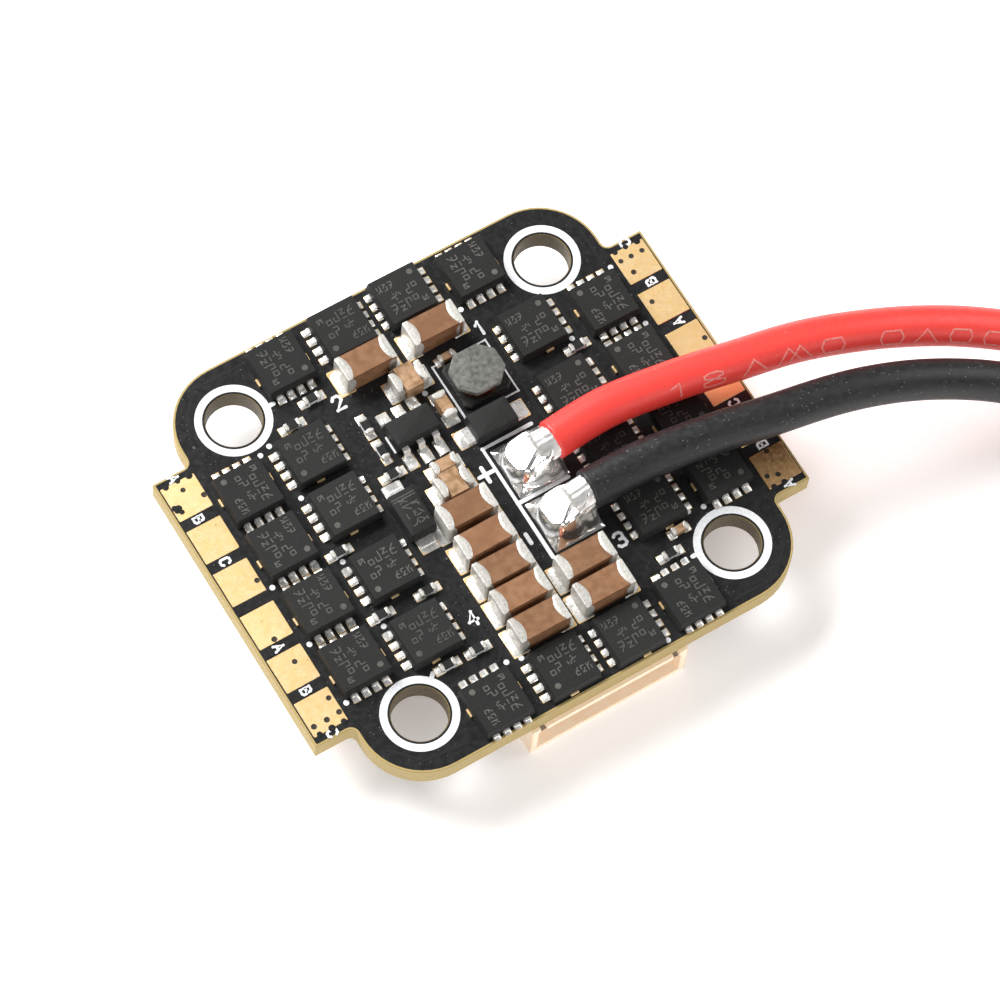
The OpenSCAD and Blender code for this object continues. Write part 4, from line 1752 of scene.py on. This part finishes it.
@dataclass
class CeramicCapacitors:
    """Ceramic capacitors with bowed metal ends."""

    bulk: int = 9

    @staticmethod
    def end_shape(w: float, h: float, e: float) -> Piece:
        """Makes one metal end, with its outer face at X 0 and reaching to +X.

        Args:
            w: width.
            h: height.
            e: how far it wraps over the body.

        Returns:
            The shape.
        """
        steps = 7
        loop: Loop = []
        corners = ((-w / 2, 0.0), (w / 2, 0.0), (w / 2, h), (-w / 2, h))
        for k in range(4):
            (ya, za), (yb, zb) = corners[k], corners[(k + 1) % 4]
            loop += [(ya + (yb - ya) * i / steps, za + (zb - za) * i / steps) for i in range(steps)]

        def ring(x: Callable[[float, float], float], inset: float, corner: float) -> list[Place]:
            """Makes one ring, pulled in from the full section."""
            made = []
            for y, z in loop:
                yy = max(-w / 2 + inset, min(w / 2 - inset, y))
                zz = max(inset, min(h - inset, z))
                ky, kz = abs(yy) - (w / 2 - inset - corner), abs(zz - h / 2) - (h / 2 - inset - corner)
                if corner and ky > 0 and kz > 0:
                    d = hypot(ky, kz)
                    pull = min(1.0, corner / d)
                    yy = copysign(abs(yy) - ky + ky * pull, yy)
                    zz = h / 2 + copysign(abs(zz - h / 2) - kz + kz * pull, zz - h / 2)
                made.append((x(yy, zz), yy, zz))
            return made

        def edge(y: float, z: float) -> float:
            """Gives how far the end reaches over the body, most at mid-face."""
            flat = abs(y) / (w / 2) if abs(z - h / 2) > h / 2 - 0.1 else abs(z - h / 2) / (h / 2)
            return e * (0.66 + 0.5 * (1 - flat * flat))

        rings = [
            ring(lambda y, z: 0.01, 0.3, 0.03),
            ring(lambda y, z: 0.0, 0.12, 0.05),
            ring(lambda y, z: 0.02, 0.035, 0.05),
            ring(lambda y, z: 0.06, 0.0, 0.06),
            ring(lambda y, z: 0.085, 0.0, 0.06),
            ring(lambda y, z: edge(y, z) * 0.6, 0.0, 0.06),
            ring(lambda y, z: edge(y, z) - 0.03, 0.0, 0.05),
            ring(lambda y, z: edge(y, z), 0.022, 0.04),
            ring(lambda y, z: edge(y, z), 0.06, 0.04),
        ]
        shell = Shell()
        shell.loft(rings)
        return upright(shell.object("end", smooth=50))

    @staticmethod
    def pairs(solids: Sequence[Box], bodies: Sequence[Box]) -> list[tuple[Spot, float]]:
        """Sets an end at each terminal, facing its body.

        Args:
            solids: the terminals' boxes.
            bodies: the bodies' boxes.

        Returns:
            A place for each end, with its width.
        """
        found = []
        for low, high in solids:
            middle = centre_of((low, high))
            way = min((centre_of(b) - middle for b in bodies), key=lambda v: v.length)
            side = Side.towards(way.x, way.y)
            face = low if side in (Side.EAST, Side.NORTH) else high
            at = (face.x, middle.y, low.z) if side.along_x else (middle.x, face.y, low.z)
            found.append((Spot(at, side.value), high.y - low.y if side.along_x else high.x - low.x))
        return found

    def build(self) -> None:
        """Builds the bulk capacitors' bodies and ends."""
        nodes = [f"bulk_capacitor_{k + 1}" for k in range(self.bulk)]
        bodies = [box_of(n) for n in nodes]
        low, high = bodies[0]
        size = high - low
        body = Shell()
        body.box((-size.x / 2 - 0.4, -size.y / 2 - 0.02, 0.02), (size.x / 2 + 0.4, size.y / 2 + 0.02, size.z + 0.022))
        spots = [Spot(foot(box)) for box in bodies]
        shape = body.object("body", bevel=0.05, segments=3)
        keep(set_copies("capacitor_bodies", spots, shape, CERAMIC, 51, (0, 0.5, 0.1)), CERAMIC, *nodes)
        ends = solids_of("bulk_capacitor_terminals")
        a, b = ends[0]
        shape = self.end_shape(b.y - a.y, b.z - a.z, b.x - a.x)
        spots = [s for s, _ in self.pairs(ends, bodies)]
        made = set_copies("capacitor_ends", spots, shape, CHIP_END, 52, (0.01, 0.8, 0.1))
        keep(made, CHIP_END, "bulk_capacitor_terminals")

    def build_small(self) -> None:
        """Builds the six smaller capacitors, in their own sizes."""
        bodies = solids_of("regulator_capacitors")
        shell = Shell()
        for low, high in bodies:
            reach = Vector((0.2, 0, 0)) if high.x - low.x > high.y - low.y else Vector((0, 0.2, 0))
            reach = reach if (high - low).x < 1.5 else reach * 1.5
            shell.box(low - reach, high + reach)
        keep(shell.object("small_capacitor_bodies", bevel=0.035, segments=3), TAN_CERAMIC, "regulator_capacitors")


@dataclass
class SmallChips:
    """Chip resistors, and the metal ends of all the small chips."""

    gull_height: float = 0.6
    tallest_resistor: float = 0.4

    def build(self) -> None:
        """Builds resistor bodies and every small chip's ends."""
        resistors = solids_of("gate_resistors")
        shell = Shell()
        base = Shell()
        for low, high in resistors:
            along_x = high.x - low.x > high.y - low.y
            reach = Vector((0.12, 0, 0)) if along_x else Vector((0, 0.12, 0))
            shell.box(low + Vector((0.01, 0.01, 0.2)), high - Vector((0.01, 0.01, -0.005)))
            base.box(low - reach, high + reach - Vector((0, 0, 0.06)))
        top = dressed(shell.object("tops", bevel=0.02, segments=2), MOULD)
        under = dressed(base.object("bases", bevel=0.02, segments=1), INK)
        keep(joined("resistor_bodies", [under, top]), MOULD, "gate_resistors")
        capacitors = solids_of("regulator_capacitors")
        groups: dict[Place, list[Spot]] = {}
        wings = Shell()
        for low, high in solids_of("chip_terminals"):
            size = high - low
            if abs(size.z - self.gull_height) < 0.01:
                self.gull(wings, low, high)
                continue
            bodies = capacitors if size.z > self.tallest_resistor else resistors
            spot, width = CeramicCapacitors.pairs([(low, high)], bodies)[0]
            reach = size.x if spot.turn in (0, 180) else size.y
            key = (round(width, 2), round(size.z, 2), round(reach, 2))
            groups.setdefault(key, []).append(spot)
        parts = [dressed(wings.object("gull_leads", bevel=0.02), TIN)]
        for number, (key, spots) in enumerate(sorted(groups.items())):
            shape = CeramicCapacitors.end_shape(*key)
            parts.append(set_copies(f"ends_{number}", spots, shape, CHIP_END, 60 + number, (0.01, 1.0, 0.1)))
        keep(joined("small_chip_ends", parts), TIN, "chip_terminals")

    @staticmethod
    def gull(shell: Shell, low: Vector, high: Vector) -> None:
        """Adds one of the regulator's bent leads.

        Args:
            shell: what it is added to.
            low: the lead's lowest corner.
            high: its highest corner.
        """
        out = 1 if low.y + high.y > 2 * foot(box_of("regulator_chip"))[1] else -1
        reach = high.y - low.y
        profile = [
            (0, 0.45), (0.15, 0.45), (0.19, 0.41), (0.28, 0.04), (0.33, 0.0), (reach, 0.0),
            (reach, 0.14), (0.4, 0.15), (0.3, 0.54), (0.25, 0.6), (0, 0.6),
        ]
        y = low.y if out > 0 else high.y
        shell.strip(profile, high.x - low.x, radians(90 * out), ((low.x + high.x) / 2, y, low.z))


@dataclass
class Inductor:
    """The regulator's flanged inductor and its winding."""

    flange: float = 0.35
    turns: float = 5.0
    wire: float = 0.15

    @staticmethod
    def octagon(x: float, y: float, cut: float) -> Loop:
        """Returns a rectangle with its corners cut off."""
        return [
            (x / 2, -y / 2 + cut), (x / 2, y / 2 - cut), (x / 2 - cut, y / 2), (-x / 2 + cut, y / 2),
            (-x / 2, y / 2 - cut), (-x / 2, -y / 2 + cut), (-x / 2 + cut, -y / 2), (x / 2 - cut, -y / 2),
        ]

    def build(self) -> None:
        """Builds the core and the winding."""
        low, high = box_of("inductor_core")
        cx, cy, _ = foot((low, high))
        side, top = high.x - low.x, high.z

        def disc(shell: Shell, loop: Loop, *heights: float) -> None:
            """Adds one disc about the core's axis."""
            shell.loft([[(cx + x, cy + y, z) for x, y in loop] for z in heights])

        lower, upper, pack = Shell(), Shell(), Shell()
        disc(lower, self.octagon(side, side, 0.3), low.z, low.z + self.flange)
        disc(lower, circle(side * 0.25, 32), low.z + 0.1, top - 0.1)
        # The lower flange and the post take the near-black finish: painted shade under the top flange.
        base = dressed(lower.object("base", bevel=0.07, segments=3, smooth=50), SHADED_FERRITE)
        disc(upper, self.octagon(side, side * 0.9, 0.75), top - self.flange, top)
        cap = dressed(upper.object("cap", bevel=0.07, segments=3, smooth=50), FERRITE)
        keep(joined("ferrite_core", [base, cap]), FERRITE, "inductor_core")
        low, high = box_of("inductor_winding")
        coil = grow(
            "coil",
            link("coil_seed", bpy.data.meshes.new("coil_seed")),
            coil_tree(),
            Turns=self.turns,
            Radius=((high.x - low.x) / 2 - self.wire / 2) * MM,
            Height=(high.z - low.z - 0.14) * MM,
            Wire=self.wire * MM,
            Centre=(cx * MM, cy * MM, (low.z + 0.07) * MM),
            Finish=material_of(WINDING),
        )
        disc(pack, circle(1.19, 40), low.z + 0.01, high.z - 0.01)
        inner = dressed(pack.object("inner_turns", bevel=0.03), WINDING)
        keep(joined("copper_winding", [coil, inner]), WINDING, "inductor_winding")


@dataclass
class Diodes:
    """Two moulded diodes with flat terminals, one of them marked."""

    nodes: tuple[str, ...] = ("protection_diode", "catch_diode")

    def build(self) -> None:
        """Builds both diodes and their terminals."""
        for node in self.nodes:
            low, high = box_of(node)
            body = Shell()
            steps = ((0.97, low.z), (1.0, low.z + 0.42), (1.0, low.z + 0.5), (0.955, high.z))
            body.loft(moulding((low, high), steps))
            parts = [dressed(body.object("moulding", bevel=0.04), MOULD)]
            if node == "protection_diode":
                parts.append(self.marks(low, high))
            keep(joined(node + "_body", parts), MOULD, node)
        strap = Shell()
        for low, high in solids_of("diode_terminals"):
            middle = centre_of((low, high))
            way = min((middle - centre_of(box_of(n)) for n in self.nodes), key=lambda v: v.length)
            side, size = Side.towards(way.x, way.y), high - low
            reach, width = (size.x, size.y) if side.along_x else (size.y, size.x)
            tip, root = reach / 2, -reach / 2 - 0.15
            profile = [(root, 0.0), (tip, 0.0), (tip + 0.01, 0.1), (tip - 0.05, 0.16), (root, 0.16)]
            strap.strip(profile, width, radians(side.value), (middle.x, middle.y, low.z))
        keep(strap.object("diode_straps", bevel=0.025), TIN, "diode_terminals")

    @staticmethod
    def marks(low: Vector, high: Vector) -> Piece:
        """Draws a cathode band and plain strokes on the protection diode's top.

        Args:
            low: the body's lowest corner.
            high: its highest corner.

        Returns:
            The marks.
        """
        cx, cy, _ = foot((low, high))
        long, wide = high.y - low.y, high.x - low.x
        lines = [[(u * long, -0.42 * wide), (u * long, 0.42 * wide)] for u in (0.3, 0.36)]
        rng = random.Random(4)
        for row, count in ((0.1, 4), (-0.22, 3)):
            for k in range(count):
                u, v = -0.3 * long + k * 0.48, row * wide
                for _ in range(3):
                    start = (u + rng.choice((0, 0.15, 0.3)), v + rng.choice((-0.2, 0, 0.22)))
                    lines.append([start, (u + rng.choice((0, 0.3)), v + rng.choice((-0.2, 0.22)))])
        z = high.z + MARK_LIFT
        turned = [[(cx - v, cy + u, z) for u, v in line] for line in lines if line[0] != line[1]]
        return pen_lines("diode_marks", turned, 0.06, MARK_THICKNESS, MARKING)


@dataclass
class Regulator:
    """The six-lead regulator chip's body."""

    def build(self) -> None:
        """Builds the body with its mould line and a pin dot."""
        low, high = box_of("regulator_chip")
        cx, cy, _ = foot((low, high))
        body = Shell()
        steps = ((0.95, low.z), (1.0, low.z + 0.45), (1.0, low.z + 0.55), (0.94, high.z))
        body.loft(moulding((low, high), steps, 0.05))
        piece = dressed(body.object("moulding", bevel=0.04), MOULD)
        dot = pen_lines("pin_dot", [[(cx - 0.95, cy - 0.4, high.z + MARK_LIFT)]], 0.26, MARK_THICKNESS, MOULD)
        keep(joined("regulator_body", [piece, dot]), MOULD, "regulator_chip")


@dataclass
class UndersideChips:
    """The controllers and drivers on the underside, as flat leadless packages."""

    stand: float = 0.05
    pitch: float = 0.5
    grid: tuple[Flat, ...] = ((0, 0), (0.25, 0), (0, 0.25), (0.25, 0.25), (0, 0.5), (0.25, 0.5))

    def build(self) -> None:
        """Builds the packages, their marks and their rows of lands."""
        lands: list[Spot] = []
        rows = (("microcontrollers", "controller_packages", 5), ("gate_drivers", "driver_packages", 7))
        for node, name, pins in rows:
            body = Shell()
            lines = []
            for low, high in solids_of(node):
                size = high - low
                cx, cy, z = foot((low, high))
                steps = ((0.99, low.z), (1.0, low.z + 0.06), (1.0, high.z - self.stand))
                body.loft(moulding((low, high), steps))
                z -= MARK_LIFT
                lines.append([(cx - size.x * 0.33, cy + size.y * 0.33, z)])
                rng = random.Random(5)
                for row in (0.1, -0.14):
                    for k in range(5):
                        x, y = cx - size.x * 0.33 + k * size.x * 0.14, cy + row * size.y
                        for _ in range(3):
                            lines.append([(x + u, y + v, z) for u, v in rng.sample(self.grid, 2)])
                for turn in (0, 90, 180, 270):
                    spin = Matrix.Rotation(radians(turn), 2)
                    for k in range(pins):
                        flat = spin @ Vector((size.x / 2 + 0.08, (k - (pins - 1) / 2) * self.pitch))
                        lands.append(Spot((cx + flat.x, cy + flat.y, high.z), turn))
            piece = dressed(body.object("package", bevel=0.03), MOULD)
            marks = pen_lines("package_marks", lines, 0.08, MARK_THICKNESS, MARKING)
            keep(joined(name, [upright(piece), marks]), MOULD, node)
        land = Shell()
        profile = [(0.2, -0.001), (0.2, -0.03), (0.03, -0.05), (0.0, -0.09), (-0.3, -0.09), (-0.3, -0.001)]
        land.strip(profile, 0.26)
        piece = set_copies("package_lands", lands, land.object("land", bevel=0.01, segments=1), TIN, 71, (0.04, 1, 0.1))
        keep(upright(piece), TIN)


# ---- solder joints


@dataclass
class SolderJoints:
    """The two big mounds of solder that hold the battery leads."""

    rows: int = 80
    smoothing: int = 5
    strands: int = 15

    def build(self, ends: dict[str, Point]) -> None:
        """Builds both mounds.

        Args:
            ends: each mound's node and where its lead's end is.
        """
        necks = []
        for number, (node, end) in enumerate(ends.items()):
            name = node.replace("_joint", "_mound")
            mound, neck = self.mound(name, Vector(end), number)
            keep(mound, SOLDER, node)
            necks.append(neck)
        keep(joined("tinned_strands", necks), TINNED, "lead_strands")
        dress_node("battery_pads", TIN)

    def mound(self, name: str, end: Vector, number: int) -> tuple[Piece, Piece]:
        """Builds one mound as a height over its pad, and the strands that run into it.

        Args:
            name: the piece's name.
            end: the middle of the lead's cut end.
            number: picks the mound's own unevenness.

        Returns:
            The mound and the strands.
        """
        pads = sorted(solids_of("battery_pads"), key=lambda b: abs((b[0].y + b[1].y) / 2 - end.y))
        low, high = pads[0]
        n, floor = self.rows, high.z
        heart = Vector((low.x + 1.5, (low.y + high.y) / 2 + 0.1))
        feet = [
            Vector(at) for at in ((low.x + 0.06, low.y + 0.06), (low.x + 0.06, high.y - 0.06), (high.x, low.y + 0.1))
        ]
        fold = (feet[0] + Vector((0.75, 0.62)), Vector((end.x - 0.5, end.y + 0.05)))
        grid = []
        for i in range(n + 1):
            row = []
            for k in range(n + 1):
                here = Vector((low.x + (high.x - low.x) * i / n, low.y + (high.y - low.y) * k / n))
                rise = [self.dome(here, heart, 1.58, 3.2)]
                rise += [self.arm(here, foot, heart, 0.05, 1.15, 0.42) for foot in feet]
                rise.append(self.dome(here, Vector((end.x - 0.15, end.y)), 1.35, 2.9))
                height = sum(z**3 for z in rise) ** (1 / 3)
                past = here.x - heart.x
                top = 1.5 + 0.37 * past + 1.3 * max(0.0, past - 0.5) - 0.25 * (here.y - heart.y)
                height = -log(exp(-8 * height) + exp(-8 * top)) / 8
                height -= self.arm(here, *fold, 0.1, 0.3, 0.13)
                height += noise.noise(Vector((here.x * 0.8, here.y * 1.1, 4.0 * number))) * 0.1 * min(1.0, height)
                edge = min(i, n - i, k, n - k) / n
                row.append(max(0.0, height * min(1.0, edge * 9) ** 0.6))
            grid.append(row)
        for _ in range(self.smoothing):
            grid = self.relaxed(grid)
        points = [
            (low.x + (high.x - low.x) * i / n, low.y + (high.y - low.y) * k / n, floor + grid[i][k])
            for i in range(n + 1) for k in range(n + 1)
        ]
        shell = Shell()
        m = n + 1
        faces = [(i * m + k, (i + 1) * m + k, (i + 1) * m + k + 1, i * m + k + 1) for i in range(n) for k in range(n)]
        rim = [k for k in range(m)] + [i * m + n for i in range(1, m)]
        rim += [n * m + k for k in range(n - 1, -1, -1)] + [i * m for i in range(n - 1, 0, -1)]
        base = len(points)
        points += [(points[r][0], points[r][1], low.z + 0.01) for r in rim]
        count = len(rim)
        faces += [(rim[k], rim[(k + 1) % count], base + (k + 1) % count, base + k) for k in range(count)]
        faces.append(tuple(base + k for k in range(count)))
        shell.add(points, faces)
        solder = dressed(upright(shell.object("solder", smooth=70)), SOLDER)
        spot = feet[0] + Vector((0.66, 0.6))
        near = min(points[: m * m], key=lambda p: (p[0] - spot.x) ** 2 + (p[1] - spot.y) ** 2)
        tip = Shell()
        x, y, z = near
        rings = [
            [(x + 1.3 * u + 0.5 * v, y + 1.3 * u - 0.5 * v, z + h + 0.25 * u) for u, v in circle(r, 16)]
            for r, h in ((0.21, -0.12), (0.2, 0.03), (0.13, 0.08), (0.05, 0.05))
        ]
        tip.loft(rings)
        copper = dressed(upright(tip.object("tip", smooth=60)), COPPER)
        foot = Vector((heart.x + 0.3, end.y * 0.4 + heart.y * 0.6, floor + 1.1))
        return joined(name, [solder, copper]), self.neck(end, foot)

    @staticmethod
    def dome(here: Vector, centre: Vector, radius: float, height: float) -> float:
        """Gives a round dome's height at a place."""
        t = (here - centre).length / radius
        return height * (1 - t * t) ** 0.85 if t < 1 else 0.0

    @staticmethod
    def arm(here: Vector, start: Vector, stop: Vector, low: float, high: float, width: float) -> float:
        """Gives the height of a soft ridge between two places.

        Args:
            here: the place.
            start: where the ridge starts.
            stop: where it ends.
            low: its height at the start.
            high: its height at the end.
            width: its width.

        Returns:
            The height at the place.
        """
        way = stop - start
        share = max(0.0, min(1.0, (here - start).dot(way) / way.length_squared))
        off = (here - (start + way * share)).length / width
        return (low + (high - low) * share) * exp(-off * off)

    @staticmethod
    def relaxed(grid: list[list[float]]) -> list[list[float]]:
        """Evens out a grid of heights once, with its border left alone.

        Args:
            grid: the heights, row by row.

        Returns:
            The smoother heights.
        """
        last = len(grid) - 1
        made = [row[:] for row in grid]
        for i in range(1, last):
            for k in range(1, last):
                around = grid[i - 1][k] + grid[i + 1][k] + grid[i][k - 1] + grid[i][k + 1]
                made[i][k] = grid[i][k] * 0.4 + around * 0.15
        return made

    def neck(self, end: Vector, foot: Vector) -> Piece:
        """Builds the tinned strands between the cut insulation and the mound.

        Args:
            end: the middle of the lead's cut end.
            foot: the middle of the strands inside the mound.

        Returns:
            The piece.
        """
        start = end + Vector((0.25, 0, 0))
        rings = []
        for step in range(13):
            t = step / 12
            middle = start.lerp(foot, t)
            size = 1.0 + 0.1 * t
            ring = []
            for k, (u, v) in enumerate(circle(1.0, self.strands * 6)):
                groove = abs(sin(tau * k / 12 + t * 1.2)) ** 0.7
                uneven = noise.noise(Vector((4 * u, 4 * v, 3 * t + end.y)))
                reach = size * (0.9 + 0.07 * groove + 0.05 * uneven * (1 - 0.5 * t))
                ring.append((middle.x, middle.y + reach * u, middle.z + reach * v))
            rings.append(ring)
        bundle = Shell()
        bundle.loft(rings)
        return dressed(upright(bundle.object("strand_neck", smooth=60)), TINNED)


# ---- signal connector


@dataclass
class SignalConnector:
    """The side-entry socket under the front edge."""

    def build(self) -> None:
        """Rounds the housing's edges and dresses its contacts."""
        housing = softened("signal_connector_housing", "signal_socket_housing", 0.07)
        # The housing's finish glows a little: painted light in the shade under the board.
        keep(housing, IVORY, "signal_connector_housing")
        dress_node("signal_connector_contacts", TIN)


# ---- print on the lead


@dataclass
class LeadPrint:
    """Worn white printing along the positive lead."""

    start: float = 7.0
    angle: float = 0.6
    height: float = 0.84
    stretch: float = 2.2

    def build(self, tube: Tube) -> None:
        """Lays the strokes on the lead.

        Args:
            tube: the lead.
        """
        lines: list[list[Place]] = []
        for k, letter in enumerate("18"):
            for stroke in GLYPHS[letter]:
                lines.append([((k * 0.95 + x) * self.stretch, (y - 0.5) * self.height, 0.0) for x, y in stroke])
        h = self.height / 2
        for x in (4.5, 6.6, 7.3, 14.9, 21.2):
            lines.append([(x, -h, 0), (x + 0.7, h, 0), (x + 1.4, -h, 0)])
        for x in (9.3, 12.8, 17.0, 19.1):
            cell = ((0.2, h), (1.2, h), (1.4, 0), (1.2, -h), (0.2, -h), (0, 0), (0.2, h))
            lines.append([(x + u, v, 0) for u, v in cell])
        dense = [self.divide(line) for line in lines]
        flat = pen_lines("lead_print", dense, 0.1, 0.012, PRINT)
        for vert in flat.data.vertices:
            u, v, w = vert.co / MM
            vert.co = tube.surface(self.start + u, self.angle + v / tube.radius, w + 0.012) * MM
        keep(upright(flat), PRINT)

    @staticmethod
    def divide(line: list[Place], step: float = 0.2) -> list[Place]:
        """Splits a line so that it can bend.

        Args:
            line: the line.
            step: longest piece.

        Returns:
            The finer line.
        """
        made = [line[0]]
        for a, b in zip(line, line[1:]):
            count = max(1, ceil((Vector(b) - Vector(a)).length / step))
            made += [tuple(Vector(a).lerp(Vector(b), k / count)) for k in range(1, count + 1)]
        return made


# ---- studio


@dataclass
class Studio:
    """Camera, soft lights and the pale floor."""

    target: Place = (0.264, -1.427, 1.4)
    azimuth: float = -38.28
    elevation: float = 66.02
    distance: float = 241.82
    roll: float = 7.614
    lens: float = 158.51
    floor: float = -2.96
    floor_side: float = 3000.0

    def camera(self) -> None:
        """Sets the camera up at the standard viewing angle."""
        a, e, r = (radians(v) for v in (self.azimuth, self.elevation, self.roll))
        back = Vector((sin(a) * cos(e), -cos(a) * cos(e), sin(e)))
        right = Vector((cos(a), sin(a), 0))
        up = back.cross(right)
        turned = [cos(r) * right + sin(r) * up, -sin(r) * right + cos(r) * up, back]
        data = bpy.data.cameras.new("camera")
        data.lens, data.sensor_width = self.lens, 36.0
        data.clip_start, data.clip_end = 0.01, 20.0
        camera = bpy.data.objects.new("camera", data)
        bpy.context.scene.collection.objects.link(camera)
        place = Matrix.Translation((Vector(self.target) + back * self.distance) * MM)
        camera.matrix_world = place @ Matrix(turned).transposed().to_4x4()
        bpy.context.scene.camera = camera

    @staticmethod
    def lamp(name: str, at: Point, size: float, power: float, colour: Colour = (1, 1, 1)) -> None:
        """Adds a square softbox aimed at the board.

        Args:
            name: its name.
            at: where it hangs, in millimetres.
            size: its side, in millimetres.
            power: its power in watts.
            colour: its light's colour.
        """
        data = bpy.data.lights.new(name, "AREA")
        data.energy, data.size, data.color = power, size * MM, colour
        lamp = bpy.data.objects.new(name, data)
        bpy.context.scene.collection.objects.link(lamp)
        place = Vector(at)
        lamp.location = place * MM
        lamp.rotation_mode = "QUATERNION"
        lamp.rotation_quaternion = (-place).to_track_quat("-Z", "Y")

    def build(self) -> None:
        """Builds the lights, the surroundings and the floor."""
        self.lamp("key", (-150, 320, 290), 300, 4.0)
        self.lamp("fill", (300, -60, 220), 260, 0.55)
        self.lamp("front", (-120, -380, 190), 280, 0.9)
        world = bpy.data.worlds.new("surroundings")
        bpy.context.scene.world = world
        world.use_nodes = True
        ground = world.node_tree.nodes["Background"]
        ground.inputs["Color"].default_value = (1.0, 1.0, 1.0, 1.0)
        ground.inputs["Strength"].default_value = 0.13
        half = self.floor_side / 2
        sheet = Shell()
        corners = ((-half, -half), (half, -half), (half, half), (-half, half))
        sheet.add([(x, y, self.floor) for x, y in corners], [(0, 1, 2, 3)])
        floor = sheet.object("floor")
        material = bpy.data.materials.new("pale_paper")
        material.use_nodes = True
        shader = material.node_tree.nodes["Principled BSDF"]
        for name, value in (
            ("Base Color", (0.9, 0.9, 0.9, 1)),
            ("Roughness", 0.8),
            ("Specular IOR Level", 0.1),
            ("Emission Color", (1, 0.91, 0.85, 1)),
            ("Emission Strength", 0.31),
        ):
            shader.inputs[name].default_value = value
        floor.data.materials.append(material)
        bpy.context.scene.view_settings.view_transform = "Standard"
        bpy.context.scene.view_settings.look = "None"


# ---- main


POSITIVE_WAY = (
    (3.9, -0.6, 3.7), (7.5, -0.4, 3.75), (11.4, -0.85, 3.75), (15.2, -1.5, 3.65), (19.1, -2.2, 3.4), (22.8, -3.3, 3.0),
    (26.5, -4.7, 2.3), (29.9, -6.4, 1.4), (33.3, -8.6, 0.3), (36.5, -11.3, -0.8), (39.6, -14.4, -1.5),
    (42.2, -18.0, -1.765), (44.2, -22.0, -1.765), (44.9, -26.2, -1.165), (44.9, -30.4, -0.35), (44.9, -34.6, -0.35),
)
NEGATIVE_WAY = (
    (4.05, -4.1, 3.7), (7.6, -4.15, 3.75), (11.5, -4.65, 3.75), (15.1, -5.3, 3.65), (19.1, -5.95, 3.4),
    (22.3, -6.75, 3.0), (25.3, -7.8, 2.3), (28.2, -9.2, 1.4), (31.1, -11.1, 0.3), (33.9, -13.5, -0.8),
    (36.3, -16.2, -1.5), (38.2, -19.3, -1.765), (39.5, -22.8, -1.765), (39.9, -26.4, -1.165), (39.9, -30.4, -0.35),
    (39.9, -34.6, -0.35),
)


def main() -> None:
    """Builds the whole object, sub-assembly by sub-assembly."""
    logging.basicConfig(level=logging.INFO, format="%(name)s %(message)s")
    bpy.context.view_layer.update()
    studio = Studio()
    studio.camera()
    BatteryConnector().build()
    red = BatteryLead("positive_silicone_lead", "positive_lead", RED_SILICONE, POSITIVE_WAY, 61.8, seed=2).build()
    BatteryLead("negative_silicone_lead", "negative_lead", BLACK_SILICONE, NEGATIVE_WAY, 55.6, seed=5).build()
    LeadPrint().build(red)
    CircuitBoard().build()
    Silkscreen().build()
    MotorPads().build()
    PowerTransistors().build()
    SolderLands().build()
    capacitors = CeramicCapacitors()
    capacitors.build()
    capacitors.build_small()
    SmallChips().build()
    Inductor().build()
    Diodes().build()
    Regulator().build()
    UndersideChips().build()
    SolderJoints().build({"positive_solder_joint": POSITIVE_WAY[0], "negative_solder_joint": NEGATIVE_WAY[0]})
    SignalConnector().build()
    studio.build()


if __name__ == "__main__":
    main()
